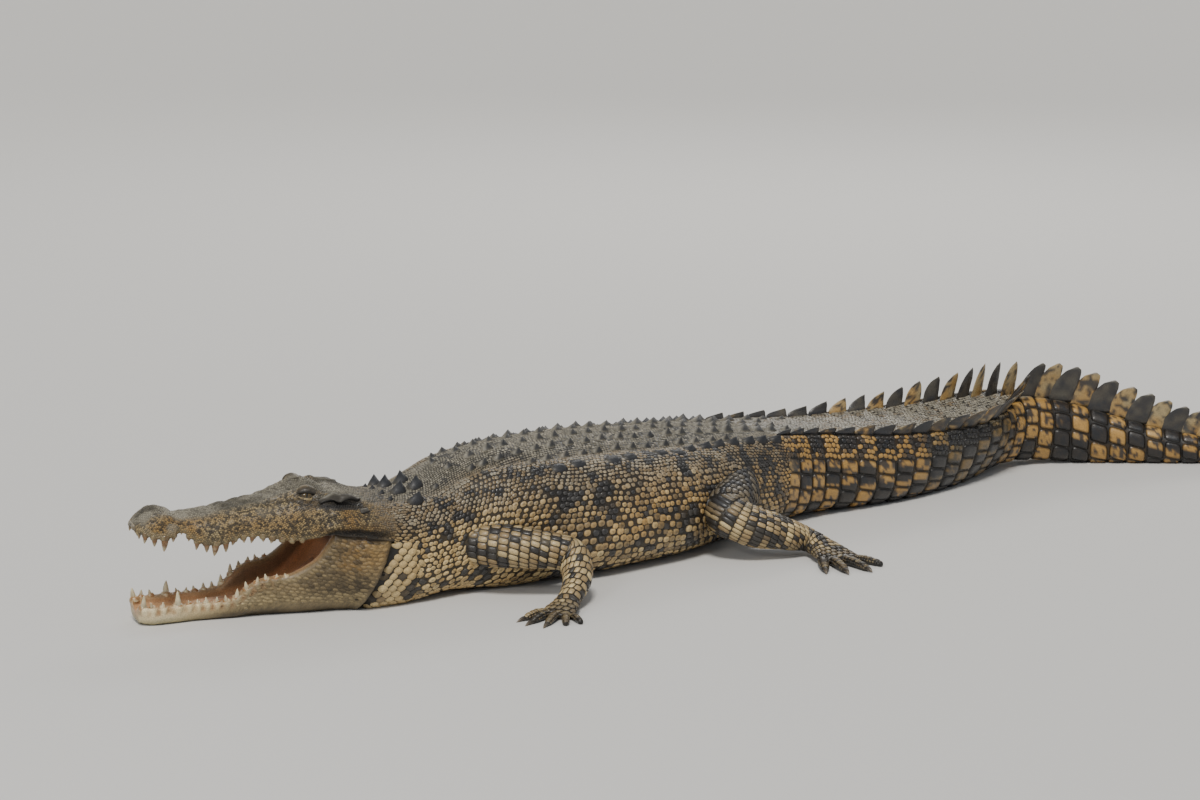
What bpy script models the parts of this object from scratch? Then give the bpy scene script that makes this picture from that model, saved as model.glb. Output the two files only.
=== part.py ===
"""A saltwater crocodile, 4.2 m long, lying on its belly with its jaws open and its tail bent.

Lengths are metres and angles degrees. The animal is laid out along a curved spine: s is the
distance from the tip of the snout along it, "out" is the distance sideways from it (positive to
the animal's left), and z is the height above the floor. The head points to -X and the left side
faces -Y. Each stretch of the body is a loft of cross-sections across the spine.
"""

import math

import bmesh
import bpy
import numpy as np
from mathutils import Vector

BODY_LENGTH = 4.25
GAP = 0.0003            # clearance between neighbouring pieces
CUT_CLEARANCE = 0.001   # how far a rounded piece that cuts its neighbour is grown
SIDES = {"left": 1, "right": -1}

# The spine: (s, heading) pairs, heading measured from +X towards +Y.
SPINE_TURNS = [
    (0.00, -3), (0.32, -3), (0.58, -1), (0.85, 14), (1.10, 15), (1.55, 16), (2.00, 17),
    (2.35, 2), (2.70, 14), (3.00, 27), (3.17, 0), (3.35, -24), (3.55, -30), (4.25, -32),
]
SPINE_STEP = 0.005
SPINE_START = (-2.018, -0.209)

# The body behind the head, as (s, value) pairs.
HALF_WIDTH = [
    (0.72, 0.160), (0.84, 0.168), (0.97, 0.206), (1.10, 0.248), (1.35, 0.298), (1.55, 0.302),
    (1.75, 0.265), (1.90, 0.228), (2.05, 0.205), (2.20, 0.188), (2.45, 0.165), (2.75, 0.132),
    (3.05, 0.105), (3.25, 0.087), (3.55, 0.066), (3.85, 0.044), (4.10, 0.024), (4.25, 0.008),
]
TOP = [
    (0.72, 0.296), (0.78, 0.300), (0.88, 0.332), (0.98, 0.360), (1.12, 0.372), (1.34, 0.364),
    (1.65, 0.337), (1.88, 0.307), (2.13, 0.270), (2.35, 0.248), (2.65, 0.236), (2.95, 0.240),
    (3.17, 0.236), (3.30, 0.212), (3.47, 0.162), (3.63, 0.116), (3.77, 0.089), (4.00, 0.058),
    (4.25, 0.020),
]
BELLY = [(0.72, 0.000), (0.84, 0.012), (1.02, 0.0), (2.87, 0.0), (3.17, 0.018), (3.42, 0.0)]
FLAT_BACK = [
    (0.72, 0.085), (0.92, 0.100), (1.24, 0.150), (1.54, 0.160), (1.85, 0.152), (2.05, 0.149),
    (2.38, 0.132), (2.60, 0.108), (2.77, 0.088), (3.00, 0.056), (3.17, 0.016), (3.35, 0.006),
    (4.25, 0.002),
]
BACK_CROWN = [(0.72, 0.012), (1.22, 0.035), (1.62, 0.034), (2.02, 0.012), (2.32, 0.004), (4.25, 0.001)]
WIDEST_AT = [(0.72, 0.45), (1.12, 0.42), (1.72, 0.42), (2.12, 0.46), (3.02, 0.48), (4.25, 0.50)]
FLAT_BELLY = [(0.72, 0.55), (1.12, 0.58), (1.72, 0.55), (2.12, 0.42), (3.02, 0.35), (4.25, 0.30)]
# How far the top of the body leans to the left.
ROLL = [(0.00, 5), (0.52, 5), (0.87, 0), (2.22, 0), (2.62, 12), (2.97, 27), (3.17, 21),
        (3.42, 7), (3.82, 3), (4.25, 0)]
UPPER_POWER = 2.25      # roundness of a section above and below its widest height
LOWER_POWER = 2.35
CROWN_SHOULDER = 0.28   # drop of the back's crown half way to its edge

# Tail whorls: each carries a pair of crest blades, and further back a single one.
TAIL_FROM = 2.05
DOUBLE_PITCH = 0.066
DOUBLE_WHORLS = 17
SINGLE_WHORLS = 20
SINGLE_PITCH_LOSS = 0.00142     # how much shorter each single whorl is than the one before

# Where the body is parted: by s, and along the tail by whorl.
NECK_FROM = 0.72
BODY_CUTS = {"neck": (NECK_FROM, 0.97), "trunk_front": (0.97, 1.42), "trunk_rear": (1.42, TAIL_FROM)}
TAIL_CUTS = {"tail_base": (0, 8), "tail_second": (8, 15), "tail_third": (15, 21),
             "tail_fourth": (21, 28), "tail_tip": (28, 37)}
SECTION_SPACING = 0.085

CREST_HEIGHT = [
    (2.05, 0.013), (2.35, 0.022), (2.55, 0.035), (2.75, 0.058), (2.95, 0.080), (3.17, 0.092),
    (3.45, 0.080), (3.75, 0.058), (4.00, 0.038), (4.25, 0.014),
]
BLADE_BASE = 0.78       # share of the pitch that a blade's foot covers
BLADE_SWEEP = 0.21      # how far the tip lies behind the foot, as a share of its height
BLADE_FOOT_THICKNESS = 0.0074    # half thicknesses of a blade
BLADE_WAIST_THICKNESS = 0.0050
BLADE_TIP_THICKNESS = 0.0014
TALL_BLADE = 0.040      # height above which a blade is given a curved back
BLADE_SINK = 0.015      # how deep a blade is rooted
BLADE_SPLAY = 16        # outward lean of the paired blades
BLADE_INSET = 0.004     # how far a paired blade stands in from the edge of the flat back
BLADE_ASIDE = 0.0015    # how far a single blade stands off the midline

# The skull, with the upper jaw lifted.
CROWN = [
    (0.00, 0.270), (0.021, 0.296), (0.06, 0.316), (0.091, 0.309), (0.119, 0.296), (0.171, 0.297),
    (0.252, 0.304), (0.345, 0.314), (0.42, 0.322), (0.48, 0.322), (0.54, 0.315), (0.60, 0.308),
    (0.65, 0.300), (0.72, 0.296),
]
CROWN_HALF_WIDTH = [
    (0.00, 0.010), (0.021, 0.024), (0.06, 0.036), (0.119, 0.026), (0.213, 0.032), (0.32, 0.034),
    (0.39, 0.036), (0.44, 0.046), (0.48, 0.052), (0.53, 0.070), (0.60, 0.080), (0.72, 0.085),
]
BROW_RISE = [(0.00, -0.008), (0.32, -0.006), (0.41, 0.004), (0.46, 0.014), (0.495, 0.012),
             (0.54, 0.002), (0.62, -0.001), (0.72, -0.012)]
LIP_HALF_WIDTH = [
    (0.00, 0.014), (0.009, 0.034), (0.027, 0.052), (0.053, 0.064), (0.085, 0.067), (0.123, 0.056),
    (0.171, 0.070), (0.213, 0.078), (0.267, 0.079), (0.34, 0.088), (0.40, 0.102), (0.46, 0.119),
    (0.52, 0.137), (0.58, 0.152), (0.64, 0.162), (0.72, 0.160),
]
UPPER_LIP = [
    (0.00, 0.262), (0.032, 0.252), (0.075, 0.244), (0.123, 0.252), (0.165, 0.226), (0.213, 0.220),
    (0.277, 0.230), (0.32, 0.233), (0.36, 0.224), (0.42, 0.216), (0.47, 0.222), (0.52, 0.226),
]
PALATE_RISE = 0.014
SEAM = [(0.52, 0.226), (0.59, 0.216), (0.72, 0.180)]   # cheek line from the mouth's corner back
CORNER_AT = 0.52
THROAT_AT = 0.58
CHEEK_BLEND = (0.56, 0.72)     # where the head's sections pass into the neck's

# The lower jaw, lying on the floor.
JAW_HALF_WIDTH = [
    (0.00, 0.012), (0.009, 0.034), (0.027, 0.052), (0.064, 0.062), (0.107, 0.061), (0.16, 0.059),
    (0.235, 0.068), (0.32, 0.082), (0.40, 0.100), (0.48, 0.122), (0.54, 0.140), (0.62, 0.162),
    (0.72, 0.160),
]
JAW_BOTTOM = [(0.00, 0.018), (0.021, 0.006), (0.053, 0.0), (0.72, 0.0)]
LOWER_LIP = [
    (0.00, 0.046), (0.021, 0.053), (0.053, 0.052), (0.111, 0.053), (0.181, 0.052), (0.251, 0.053),
    (0.299, 0.084), (0.34, 0.106), (0.405, 0.115), (0.445, 0.134), (0.475, 0.156), (0.495, 0.182),
    (0.52, 0.222),
]
LIP_THICKNESS = [(0.00, 0.008), (0.032, 0.018), (0.16, 0.022), (0.37, 0.026), (0.52, 0.024)]
MOUTH_FLOOR = [(0.00, 0.036), (0.043, 0.036), (0.107, 0.032), (0.267, 0.032), (0.40, 0.050),
               (0.50, 0.110), (0.58, 0.210)]
JAW_START = 0.013
JAW_LIP_SHARE = 0.94    # the lip's edge, as a share of the jaw's half width
LEAST_MOUTH_SHARE = 0.37
LIP_SLOPE = 0.002       # how much lower the lip's inner edge lies

# Where the sections of the skull and of the lower jaw lie.
SKULL_STATIONS = [0.0, 0.009, 0.027, 0.059, 0.091, 0.123, 0.165, 0.215, 0.28, 0.34, 0.39, 0.43, 0.465,
                  0.495, 0.52, 0.55, 0.58, 0.62, 0.67, NECK_FROM - GAP]
JAW_STATIONS = [JAW_START, 0.027, 0.053, 0.091, 0.133, 0.192, 0.25, 0.278, 0.30, 0.34, 0.405, 0.445, 0.475,
                0.50, 0.52, 0.55, 0.58, 0.62, 0.67, NECK_FROM - GAP]

TONGUE = (0.14, 0.52)   # where it starts and ends
TONGUE_SPACING = 0.045
TONGUE_SHARE = 0.44     # its half width, as a share of the mouth's
TONGUE_LIFT = 0.004     # the least height of its top over the floor, and its clearance from the palate
TONGUE_THICKNESS = 0.016
TONGUE_ROOT = 0.006     # how far the tongue reaches into the floor before it is cut to it

EYE_AT = 0.467
EYE_OUT = 0.0540
EYE_HEIGHT = 0.317
EYE_RADIUS = 0.0235

# Teeth: (s, length, radius).
UPPER_TEETH = [
    (0.013, 0.016, 0.0040), (0.028, 0.022, 0.0050), (0.048, 0.026, 0.0058), (0.075, 0.032, 0.0068),
    (0.10, 0.018, 0.0048), (0.143, 0.014, 0.0042), (0.163, 0.020, 0.0050), (0.186, 0.027, 0.0060),
    (0.21, 0.034, 0.0072), (0.236, 0.026, 0.0060), (0.26, 0.018, 0.0052), (0.285, 0.016, 0.0050),
    (0.31, 0.018, 0.0052), (0.336, 0.019, 0.0054), (0.361, 0.018, 0.0054), (0.386, 0.016, 0.0050),
    (0.411, 0.014, 0.0048), (0.436, 0.011, 0.0044),
]
LOWER_TEETH = [
    (0.023, 0.032, 0.0066), (0.045, 0.018, 0.0050), (0.073, 0.017, 0.0048), (0.114, 0.038, 0.0076),
    (0.145, 0.013, 0.0042), (0.169, 0.014, 0.0044), (0.193, 0.016, 0.0048), (0.219, 0.017, 0.0050),
    (0.245, 0.019, 0.0052), (0.271, 0.024, 0.0058), (0.298, 0.025, 0.0060), (0.324, 0.018, 0.0054),
    (0.349, 0.016, 0.0052), (0.374, 0.014, 0.0050), (0.399, 0.011, 0.0046),
]
TOOTH_SIDES = 4
TOOTH_INSET = 0.008     # how far a tooth stands in from the lip's edge
TOOTH_ROOT = 0.007      # how deep it is rooted
TOOTH_RAKE = 0.002      # how far its tip lies ahead of its root
UPPER_LEAN = 0.10       # outward lean of the tip, as a share of the length
LOWER_LEAN = 0.16

# Limbs: the stops of each segment as (s, out, z), with (half width, half thickness) there.
# A segment starts inside the one before it and is cut by it.
FORELIMB = {
    "upper_arm": [((0.90, 0.13, 0.140), (0.062, 0.064)), ((0.97, 0.225, 0.135), (0.058, 0.060)),
                  ((1.04, 0.295, 0.125), (0.050, 0.051)), ((1.08, 0.335, 0.110), (0.046, 0.047))],
    "forearm": [((1.08, 0.340, 0.105), (0.038, 0.038)), ((1.055, 0.388, 0.070), (0.042, 0.041)),
                ((1.015, 0.420, 0.045), (0.036, 0.033)), ((0.98, 0.440, 0.032), (0.033, 0.027))],
    "hand": [((0.985, 0.437, 0.026), (0.030, 0.022)), ((0.955, 0.455, 0.021), (0.040, 0.020)),
             ((0.925, 0.471, 0.016), (0.047, 0.016)), ((0.90, 0.484, 0.012), (0.045, 0.012))],
}
HINDLIMB = {
    "thigh": [((1.88, 0.09, 0.150), (0.092, 0.085)), ((1.81, 0.190, 0.150), (0.088, 0.082)),
              ((1.72, 0.275, 0.138), (0.076, 0.072)), ((1.675, 0.320, 0.125), (0.064, 0.062))],
    "shank": [((1.67, 0.325, 0.118), (0.054, 0.052)), ((1.71, 0.375, 0.095), (0.060, 0.058)),
              ((1.785, 0.415, 0.070), (0.053, 0.049)), ((1.855, 0.445, 0.045), (0.043, 0.037))],
    "foot": [((1.855, 0.445, 0.036), (0.038, 0.032)), ((1.87, 0.490, 0.028), (0.048, 0.026)),
             ((1.862, 0.535, 0.020), (0.057, 0.018)), ((1.846, 0.585, 0.014), (0.062, 0.013))],
}
ROUNDED_END = [(0.45, 0.88), (0.80, 0.58)]      # (reach, width) of the rings that round a segment off
LIMB_SAMPLES = 2        # sections between two stops
LIMB_SIDES = 10
DIGIT_SIDES = 6
# Toes: (turn from the limb's end, shift across it, length, radius, has a claw), innermost first.
FINGERS = [(26, 0.034, 0.050, 0.0125, True), (10, 0.020, 0.066, 0.0125, True),
           (-6, 0.002, 0.072, 0.0120, True), (-24, -0.016, 0.066, 0.0105, False),
           (-44, -0.031, 0.052, 0.0095, False)]
TOES = [(22, 0.045, 0.070, 0.0145, True), (7, 0.020, 0.096, 0.0145, True),
        (-8, -0.010, 0.104, 0.0140, True), (-26, -0.040, 0.088, 0.0120, False)]
DIGIT_RINGS = [(0.0, 0.8, 0.0), (0.5, 1.0, 0.002), (1.0, 0.66, 0.0)]     # (reach, width, lift)
DIGIT_ROOT = 0.022      # how deep a digit is rooted in the palm
DIGIT_REST = 0.86       # height of a digit's middle over the floor, in radii
CLAW_LENGTH = 0.024
CLAW_WIDTH = 0.52       # radius of a claw's foot, in radii of its digit
CLAW_REST = 0.62        # height of its foot, in radii of its digit
CLAW_TIP_HEIGHT = 0.002
CLAW_SIDES = 6

COLOURS = {
    "hide": (0.115, 0.095, 0.055),
    "flank": (0.20, 0.145, 0.065),
    "jaw": (0.38, 0.31, 0.19),
    "mouth": (0.36, 0.155, 0.075),
    "eye": (0.10, 0.085, 0.03),
    "claw": (0.06, 0.05, 0.04),
}


def profile(pairs, s):
    """Read a table of (s, value) pairs with a smooth curve that never overshoots."""
    xs = np.array([p[0] for p in pairs])
    ys = np.array([p[1] for p in pairs], dtype=float)
    s = min(max(s, xs[0]), xs[-1])
    slopes = np.diff(ys) / np.diff(xs)
    tangents = np.concatenate([[slopes[0]], np.zeros(len(xs) - 2), [slopes[-1]]])
    for i in range(1, len(xs) - 1):
        before, after = slopes[i - 1], slopes[i]
        if before * after > 0:
            tangents[i] = 2 * before * after / (before + after)
    i = min(int(np.searchsorted(xs, s, side="right")) - 1, len(xs) - 2)
    span = xs[i + 1] - xs[i]
    t = (s - xs[i]) / span
    return float((2 * t**3 - 3 * t**2 + 1) * ys[i] + (t**3 - 2 * t**2 + t) * span * tangents[i]
                 + (3 * t**2 - 2 * t**3) * ys[i + 1] + (t**3 - t**2) * span * tangents[i + 1])


def walk_spine():
    """Points along the spine on the floor plan, one every SPINE_STEP."""
    points = [SPINE_START]
    for i in range(round(BODY_LENGTH / SPINE_STEP)):
        heading = math.radians(profile(SPINE_TURNS, (i + 0.5) * SPINE_STEP))
        x, y = points[-1]
        points.append((x + SPINE_STEP * math.cos(heading), y + SPINE_STEP * math.sin(heading)))
    return np.array(points)


SPINE = walk_spine()
SPINE_S = np.arange(len(SPINE)) * SPINE_STEP


def place(s, out, z):
    """The point at distance s along the spine, out to the left of it, at height z."""
    roll = math.radians(profile(ROLL, s))
    if roll:
        pivot = profile(TOP, s) * profile(WIDEST_AT, s)
        out, z = (out * math.cos(roll) + (z - pivot) * math.sin(roll),
                  pivot + (z - pivot) * math.cos(roll) - out * math.sin(roll))
    heading = math.radians(profile(SPINE_TURNS, s))
    x = float(np.interp(s, SPINE_S, SPINE[:, 0])) + out * math.sin(heading)
    y = float(np.interp(s, SPINE_S, SPINE[:, 1])) - out * math.cos(heading)
    return Vector((x, y, max(z, 0.0)))


def quarter(centre, reach, power, share):
    """A point on a rounded quarter from (reach, 0) at share 0 to (0, reach) at share 1."""
    angle = share * math.pi / 2
    return (centre[0] + reach[0] * math.cos(angle) ** (2 / power),
            centre[1] + reach[1] * math.sin(angle) ** (2 / power))


def body_measures(s, grow=0.0):
    """Half width, top, bottom, widest height, flat back and flat belly at s."""
    top = profile(TOP, s) + grow
    bottom = profile(BELLY, s) - grow
    widest = bottom + profile(WIDEST_AT, s) * (top - bottom)
    wide = profile(HALF_WIDTH, s) + grow
    return wide, top, bottom, widest, profile(FLAT_BACK, s), wide * profile(FLAT_BELLY, s)


def body_outline(s, grow=0.0):
    """Half of the body's section at s as (out, z) points, from belly to back."""
    wide, top, bottom, widest, back, belly = body_measures(s, grow)
    crown = profile(BACK_CROWN, s)
    back = min(back, wide * 0.9)
    lower = [quarter((belly, widest), (wide - belly, bottom - widest), LOWER_POWER, share)
             for share in (0.5,)]
    upper = [quarter((back, widest), (wide - back, top - crown - widest), UPPER_POWER, share)
             for share in (0.0, 0.35, 0.7)]
    return ([(0.0, bottom), (belly, bottom)] + lower + upper
            + [(back, top - crown), (back * 0.5, top - crown * CROWN_SHOULDER), (0.0, top)])


def neck_part(s, seam, upper, grow=0.0):
    """The part of the body's section above or below the cheek line, as ten half points."""
    wide, top, bottom, widest, back, belly = body_measures(s, grow)
    crown = profile(BACK_CROWN, s)
    rise = (seam - widest) / (top - crown - widest)
    cheek = math.asin(min(max(rise, 0.0), 1.0) ** (UPPER_POWER / 2)) * 2 / math.pi

    def side(share):
        return quarter((back, widest), (wide - back, top - crown - widest), UPPER_POWER, share)

    edge = side(cheek)[0]
    if upper:
        steps = [side(cheek + (1 - cheek) * k / 4) for k in (1, 2, 3)]
        return ([(0.0, seam), (edge * 0.55, seam), (edge * 0.88, seam), (edge, seam)] + steps
                + [(back, top - crown), (back * 0.5, top - crown * CROWN_SHOULDER), (0.0, top)])
    low = quarter((belly, widest), (wide - belly, bottom - widest), LOWER_POWER, 0.5)
    return [(0.0, bottom), (belly, bottom), low, (wide, widest), side(cheek * 0.5), (edge, seam),
            (edge * 0.88, seam), (edge * 0.6, seam), (edge * 0.3, seam), (0.0, seam)]


def blend(first, second, share):
    return [(a[0] + (b[0] - a[0]) * share, a[1] + (b[1] - a[1]) * share)
            for a, b in zip(first, second)]


def smoothstep(low, high, value):
    t = min(max((value - low) / (high - low), 0.0), 1.0)
    return t * t * (3 - 2 * t)


def seam_height(s):
    return profile(SEAM, s)


def upper_bottom(s):
    """Lip and palate heights of the upper jaw at s, meeting the cheek line behind the mouth."""
    lip = profile(UPPER_LIP, s) if s < CORNER_AT else seam_height(s)
    rise = PALATE_RISE * (1 - smoothstep(CORNER_AT - 0.04, THROAT_AT, s))
    return lip, lip + rise


def skull_outline(s):
    """Half of the upper jaw and skull's section at s, from palate to crown."""
    lip, palate = upper_bottom(s)
    wide = profile(LIP_HALF_WIDTH, s)
    crown = profile(CROWN, s)
    back = profile(CROWN_HALF_WIDTH, s)
    brow = crown + profile(BROW_RISE, s)
    height = brow - lip
    fore = [(0.0, palate), (wide * 0.55, palate), (wide * 0.84, lip + (palate - lip) * 0.35),
            (wide * 0.97, lip), (wide, lip + height * 0.30),
            (wide * 0.80 + back * 0.20, lip + height * 0.62),
            (wide * 0.36 + back * 0.64, lip + height * 0.88),
            (back, brow), (back * 0.55, (brow + crown) / 2), (0.0, crown)]
    return blend(fore, neck_part(s, seam_height(s) + GAP / 2, True), smoothstep(*CHEEK_BLEND, s))


def jaw_tops(s):
    """Lip and mouth-floor heights of the lower jaw at s, kept below the upper jaw."""
    lip_above, palate = upper_bottom(s)
    lip = min(profile(LOWER_LIP, s), lip_above - GAP) if s < CORNER_AT else lip_above - GAP
    floor = min(profile(MOUTH_FLOOR, s), palate - GAP) if s < THROAT_AT else lip_above - GAP
    return lip, min(floor, palate - GAP)


def lower_lip_edge(s):
    """How far out the lower jaw's lip lies at s."""
    return profile(JAW_HALF_WIDTH, s) * JAW_LIP_SHARE


def mouth_half_width(s):
    """Half of the space between the lower jaw's lips at s."""
    edge = lower_lip_edge(s)
    return max(edge - profile(LIP_THICKNESS, s), edge * LEAST_MOUTH_SHARE)


def jaw_outline(s, grow=0.0):
    """Half of the lower jaw's section at s, from chin to mouth floor."""
    lip, floor = (height + grow for height in jaw_tops(s))
    wide = profile(JAW_HALF_WIDTH, s)
    bottom = profile(JAW_BOTTOM, s)
    inner = mouth_half_width(s) - grow
    height = lip - bottom
    fore = [(0.0, bottom), (wide * 0.55, bottom), (wide * 0.86, bottom + height * 0.16),
            (wide, bottom + height * 0.50), (wide * 0.99, bottom + height * 0.80),
            (lower_lip_edge(s), lip), (inner, lip - LIP_SLOPE),
            (inner * 0.86, floor + (lip - floor) * 0.12), (inner * 0.45, floor), (0.0, floor)]
    return blend(fore, neck_part(s, seam_height(s) - GAP / 2, False), smoothstep(*CHEEK_BLEND, s))


def tongue_outline(s):
    """Half of the tongue's section: a low cushion rooted in the mouth's floor."""
    floor = jaw_tops(s)[1]
    palate = upper_bottom(s)[1]
    share = min(max((s - TONGUE[0]) / (TONGUE[1] - TONGUE[0]), 0.03), 0.97)
    ends = math.sin(math.pi * share) ** 0.4
    half = mouth_half_width(s) * TONGUE_SHARE * ends
    base = floor - TONGUE_ROOT
    top = min(floor + TONGUE_LIFT + TONGUE_THICKNESS * ends, palate - TONGUE_LIFT)
    return [(0.0, base), (half * 0.9, base), (half, base + (top - base) * 0.4),
            (half * 0.8, base + (top - base) * 0.85), (half * 0.4, top), (0.0, top)]


def ring(outline, s):
    """A closed ring of points across the spine from half of a section."""
    left = [place(s, out, z) for out, z in outline]
    right = [place(s, -out, z) for out, z in outline[-2:0:-1]]
    return left + right


def link(obj):
    bpy.context.scene.collection.objects.link(obj)
    return obj


def loft(name, rings):
    """A closed mesh object through rings of equal length, ended flat."""
    mesh = bmesh.new()
    loops = [[mesh.verts.new(p) for p in points] for points in rings]
    for first, second in zip(loops, loops[1:]):
        for i in range(len(first)):
            j = (i + 1) % len(first)
            mesh.faces.new([first[i], first[j], second[j], second[i]])
    mesh.faces.new(loops[0])
    mesh.faces.new(loops[-1])
    bmesh.ops.recalc_face_normals(mesh, faces=mesh.faces)
    bmesh.ops.triangulate(mesh, faces=[f for f in mesh.faces if len(f.verts) > 4])
    data = bpy.data.meshes.new(name)
    mesh.to_mesh(data)
    mesh.free()
    return link(bpy.data.objects.new(name, data))


def join_data(name, pieces):
    """One object that holds the meshes of several, which are removed."""
    mesh = bmesh.new()
    for piece in pieces:
        mesh.from_mesh(piece.data)
        bpy.data.objects.remove(piece)
    data = bpy.data.meshes.new(name)
    mesh.to_mesh(data)
    mesh.free()
    return link(bpy.data.objects.new(name, data))


def hide_tool(tool):
    tool.hide_render = True
    tool.display_type = "WIRE"


def boolean(obj, tool, operation):
    """Cut or weld obj with tool, which stays as a hidden guide."""
    hide_tool(tool)
    modifier = obj.modifiers.new(tool.name, "BOOLEAN")
    modifier.operation = operation
    modifier.solver = "EXACT"
    modifier.object = tool


def stations(start, end, spacing):
    count = max(2, round((end - start) / spacing) + 1)
    return [start + (end - start) * i / (count - 1) for i in range(count)]


def cone(name, root, tip, radius, sides, facing=None):
    """A cone with swelling sides from root to tip; its foot faces along its axis or facing."""
    axis = facing or (tip - root).normalized()
    across = axis.orthogonal().normalized()
    up = axis.cross(across)
    mesh = bmesh.new()
    loops = []
    for share, width in ((0.0, 1.0), (0.55, 0.62)):
        centre = root.lerp(tip, share)
        turn = [centre + (across * math.cos(a) + up * math.sin(a)) * radius * width
                for a in (2 * math.pi * k / sides for k in range(sides))]
        loops.append([mesh.verts.new(p) for p in turn])
    point = mesh.verts.new(tip)
    for i in range(sides):
        j = (i + 1) % sides
        mesh.faces.new([loops[0][i], loops[0][j], loops[1][j], loops[1][i]])
        mesh.faces.new([loops[1][i], loops[1][j], point])
    mesh.faces.new(loops[0])
    bmesh.ops.recalc_face_normals(mesh, faces=mesh.faces)
    data = bpy.data.meshes.new(name)
    mesh.to_mesh(data)
    mesh.free()
    return link(bpy.data.objects.new(name, data))


def teeth(name, rows, upper):
    """Every tooth of one jaw, rooted in the lip."""
    pieces = []
    for side in SIDES.values():
        for s, length, radius in rows:
            if upper:
                wide, height, rise, lean = profile(LIP_HALF_WIDTH, s), upper_bottom(s)[0], -1, UPPER_LEAN
            else:
                wide, height, rise, lean = lower_lip_edge(s), jaw_tops(s)[0], 1, LOWER_LEAN
            out = wide - TOOTH_INSET
            root = place(s, side * out, height - rise * TOOTH_ROOT)
            tip = place(s - TOOTH_RAKE, side * (out + lean * length), height + rise * length)
            pieces.append(cone("tooth", root, tip, radius, TOOTH_SIDES))
    return join_data(name, pieces)


def ball(name, centre, radius, segments=10, rings=7):
    mesh = bmesh.new()
    bmesh.ops.create_uvsphere(mesh, u_segments=segments, v_segments=rings, radius=radius)
    data = bpy.data.meshes.new(name)
    mesh.to_mesh(data)
    mesh.free()
    obj = link(bpy.data.objects.new(name, data))
    obj.location = centre
    return obj


def make_head():
    head = loft("head", [ring(skull_outline(s), s) for s in SKULL_STATIONS])
    for side, sign in SIDES.items():
        centre = place(EYE_AT, sign * EYE_OUT, EYE_HEIGHT)
        boolean(head, ball("socket_" + side, centre, EYE_RADIUS + GAP), "DIFFERENCE")
        eye = ball("eye_" + side, centre, EYE_RADIUS)
        paint(eye, "eye", 0.12)
    boolean(head, teeth("upper_teeth", UPPER_TEETH, True), "UNION")
    paint(head, "hide", 0.55)

    jaw = loft("lower_jaw", [ring(jaw_outline(s), s) for s in JAW_STATIONS])
    boolean(jaw, teeth("lower_teeth", LOWER_TEETH, False), "UNION")
    paint(jaw, "jaw", 0.45)

    tongue = loft("tongue", [ring(tongue_outline(s), s) for s in stations(*TONGUE, TONGUE_SPACING)])
    floor = loft("mouth_floor_cut", [ring(jaw_outline(s, CUT_CLEARANCE), s) for s in JAW_STATIONS])
    boolean(tongue, floor, "DIFFERENCE")
    paint(tongue, "mouth", 0.35)


def blade(s, pitch, out, height):
    """One crest blade: a thin swept fin rooted in the top of the tail.

    Each of its levels has a rise, a share of the sweep, a share of the foot's length and a
    half thickness.
    """
    foot = pitch * BLADE_BASE
    top = profile(TOP, s) - profile(BACK_CROWN, s)
    splay = math.radians(math.copysign(BLADE_SPLAY, out) if abs(out) > BLADE_ASIDE else 0.0)
    levels = [(-BLADE_SINK, 0.0, 1.0, BLADE_FOOT_THICKNESS), (height, 1.0, 0.30, BLADE_TIP_THICKNESS)]
    if height > TALL_BLADE:
        levels.insert(1, (height * 0.45, 0.30, 0.80, BLADE_WAIST_THICKNESS))
    rings = []
    for rise, sweep, share, thick in levels:
        middle = s + (pitch + foot * (1 - share)) / 2 + height * BLADE_SWEEP * sweep
        front, back = middle - foot * share / 2, middle + foot * share / 2
        aside, z = out + rise * math.sin(splay), top + rise * math.cos(splay)
        rings.append([place(front, aside, z), place(middle, aside + thick, z),
                      place(back, aside, z), place(middle, aside - thick, z)])
    return loft("blade", rings)


def whorls():
    """The tail's whorls as (s, pitch, number of blades)."""
    rows = []
    s = TAIL_FROM
    for k in range(DOUBLE_WHORLS + SINGLE_WHORLS):
        pitch = DOUBLE_PITCH - SINGLE_PITCH_LOSS * max(k - DOUBLE_WHORLS, 0)
        rows.append((s, pitch, 2 if k < DOUBLE_WHORLS else 1))
        s += pitch
    return rows


def crest_blades(first, last):
    """The blades of the whorls from first up to last."""
    blades = []
    for s, pitch, count in whorls()[first:last]:
        height = profile(CREST_HEIGHT, s)
        out = profile(FLAT_BACK, s + pitch / 2) - BLADE_INSET if count == 2 else BLADE_ASIDE
        blades += [blade(s, pitch, side * out, height) for side in (1, -1)[:count]]
    return blades


def cuts():
    """Every length of the body as {name: (start, end)}."""
    starts = [s for s, _, _ in whorls()] + [BODY_LENGTH]
    tail = {name: (starts[first], starts[last]) for name, (first, last) in TAIL_CUTS.items()}
    return {**BODY_CUTS, **tail}


def body_stations(name):
    """Where the sections of one length of the body lie."""
    start, end = cuts()[name]
    return stations(start, end if end == BODY_LENGTH else end - GAP, SECTION_SPACING)


def make_body():
    for name in cuts():
        piece = loft(name, [ring(body_outline(s), s) for s in body_stations(name)])
        if name in TAIL_CUTS:
            crest = join_data(name + "_crest", crest_blades(*TAIL_CUTS[name]))
            boolean(piece, crest, "UNION")
        paint(piece, "flank" if name in TAIL_CUTS else "hide", 0.5)


def smooth_path(points, samples):
    """Points on a smooth curve through the given ones, with the joints kept."""
    padded = [points[0] * 2 - points[1]] + points + [points[-1] * 2 - points[-2]]
    path = []
    for a, b, c, d in zip(padded, padded[1:], padded[2:], padded[3:]):
        for k in range(samples):
            t = k / samples
            path.append(0.5 * ((2 * b) + (c - a) * t + (2 * a - 5 * b + 4 * c - d) * t * t
                               + (3 * b - a - 3 * c + d) * t**3))
    path.append(points[-1])
    return path


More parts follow.
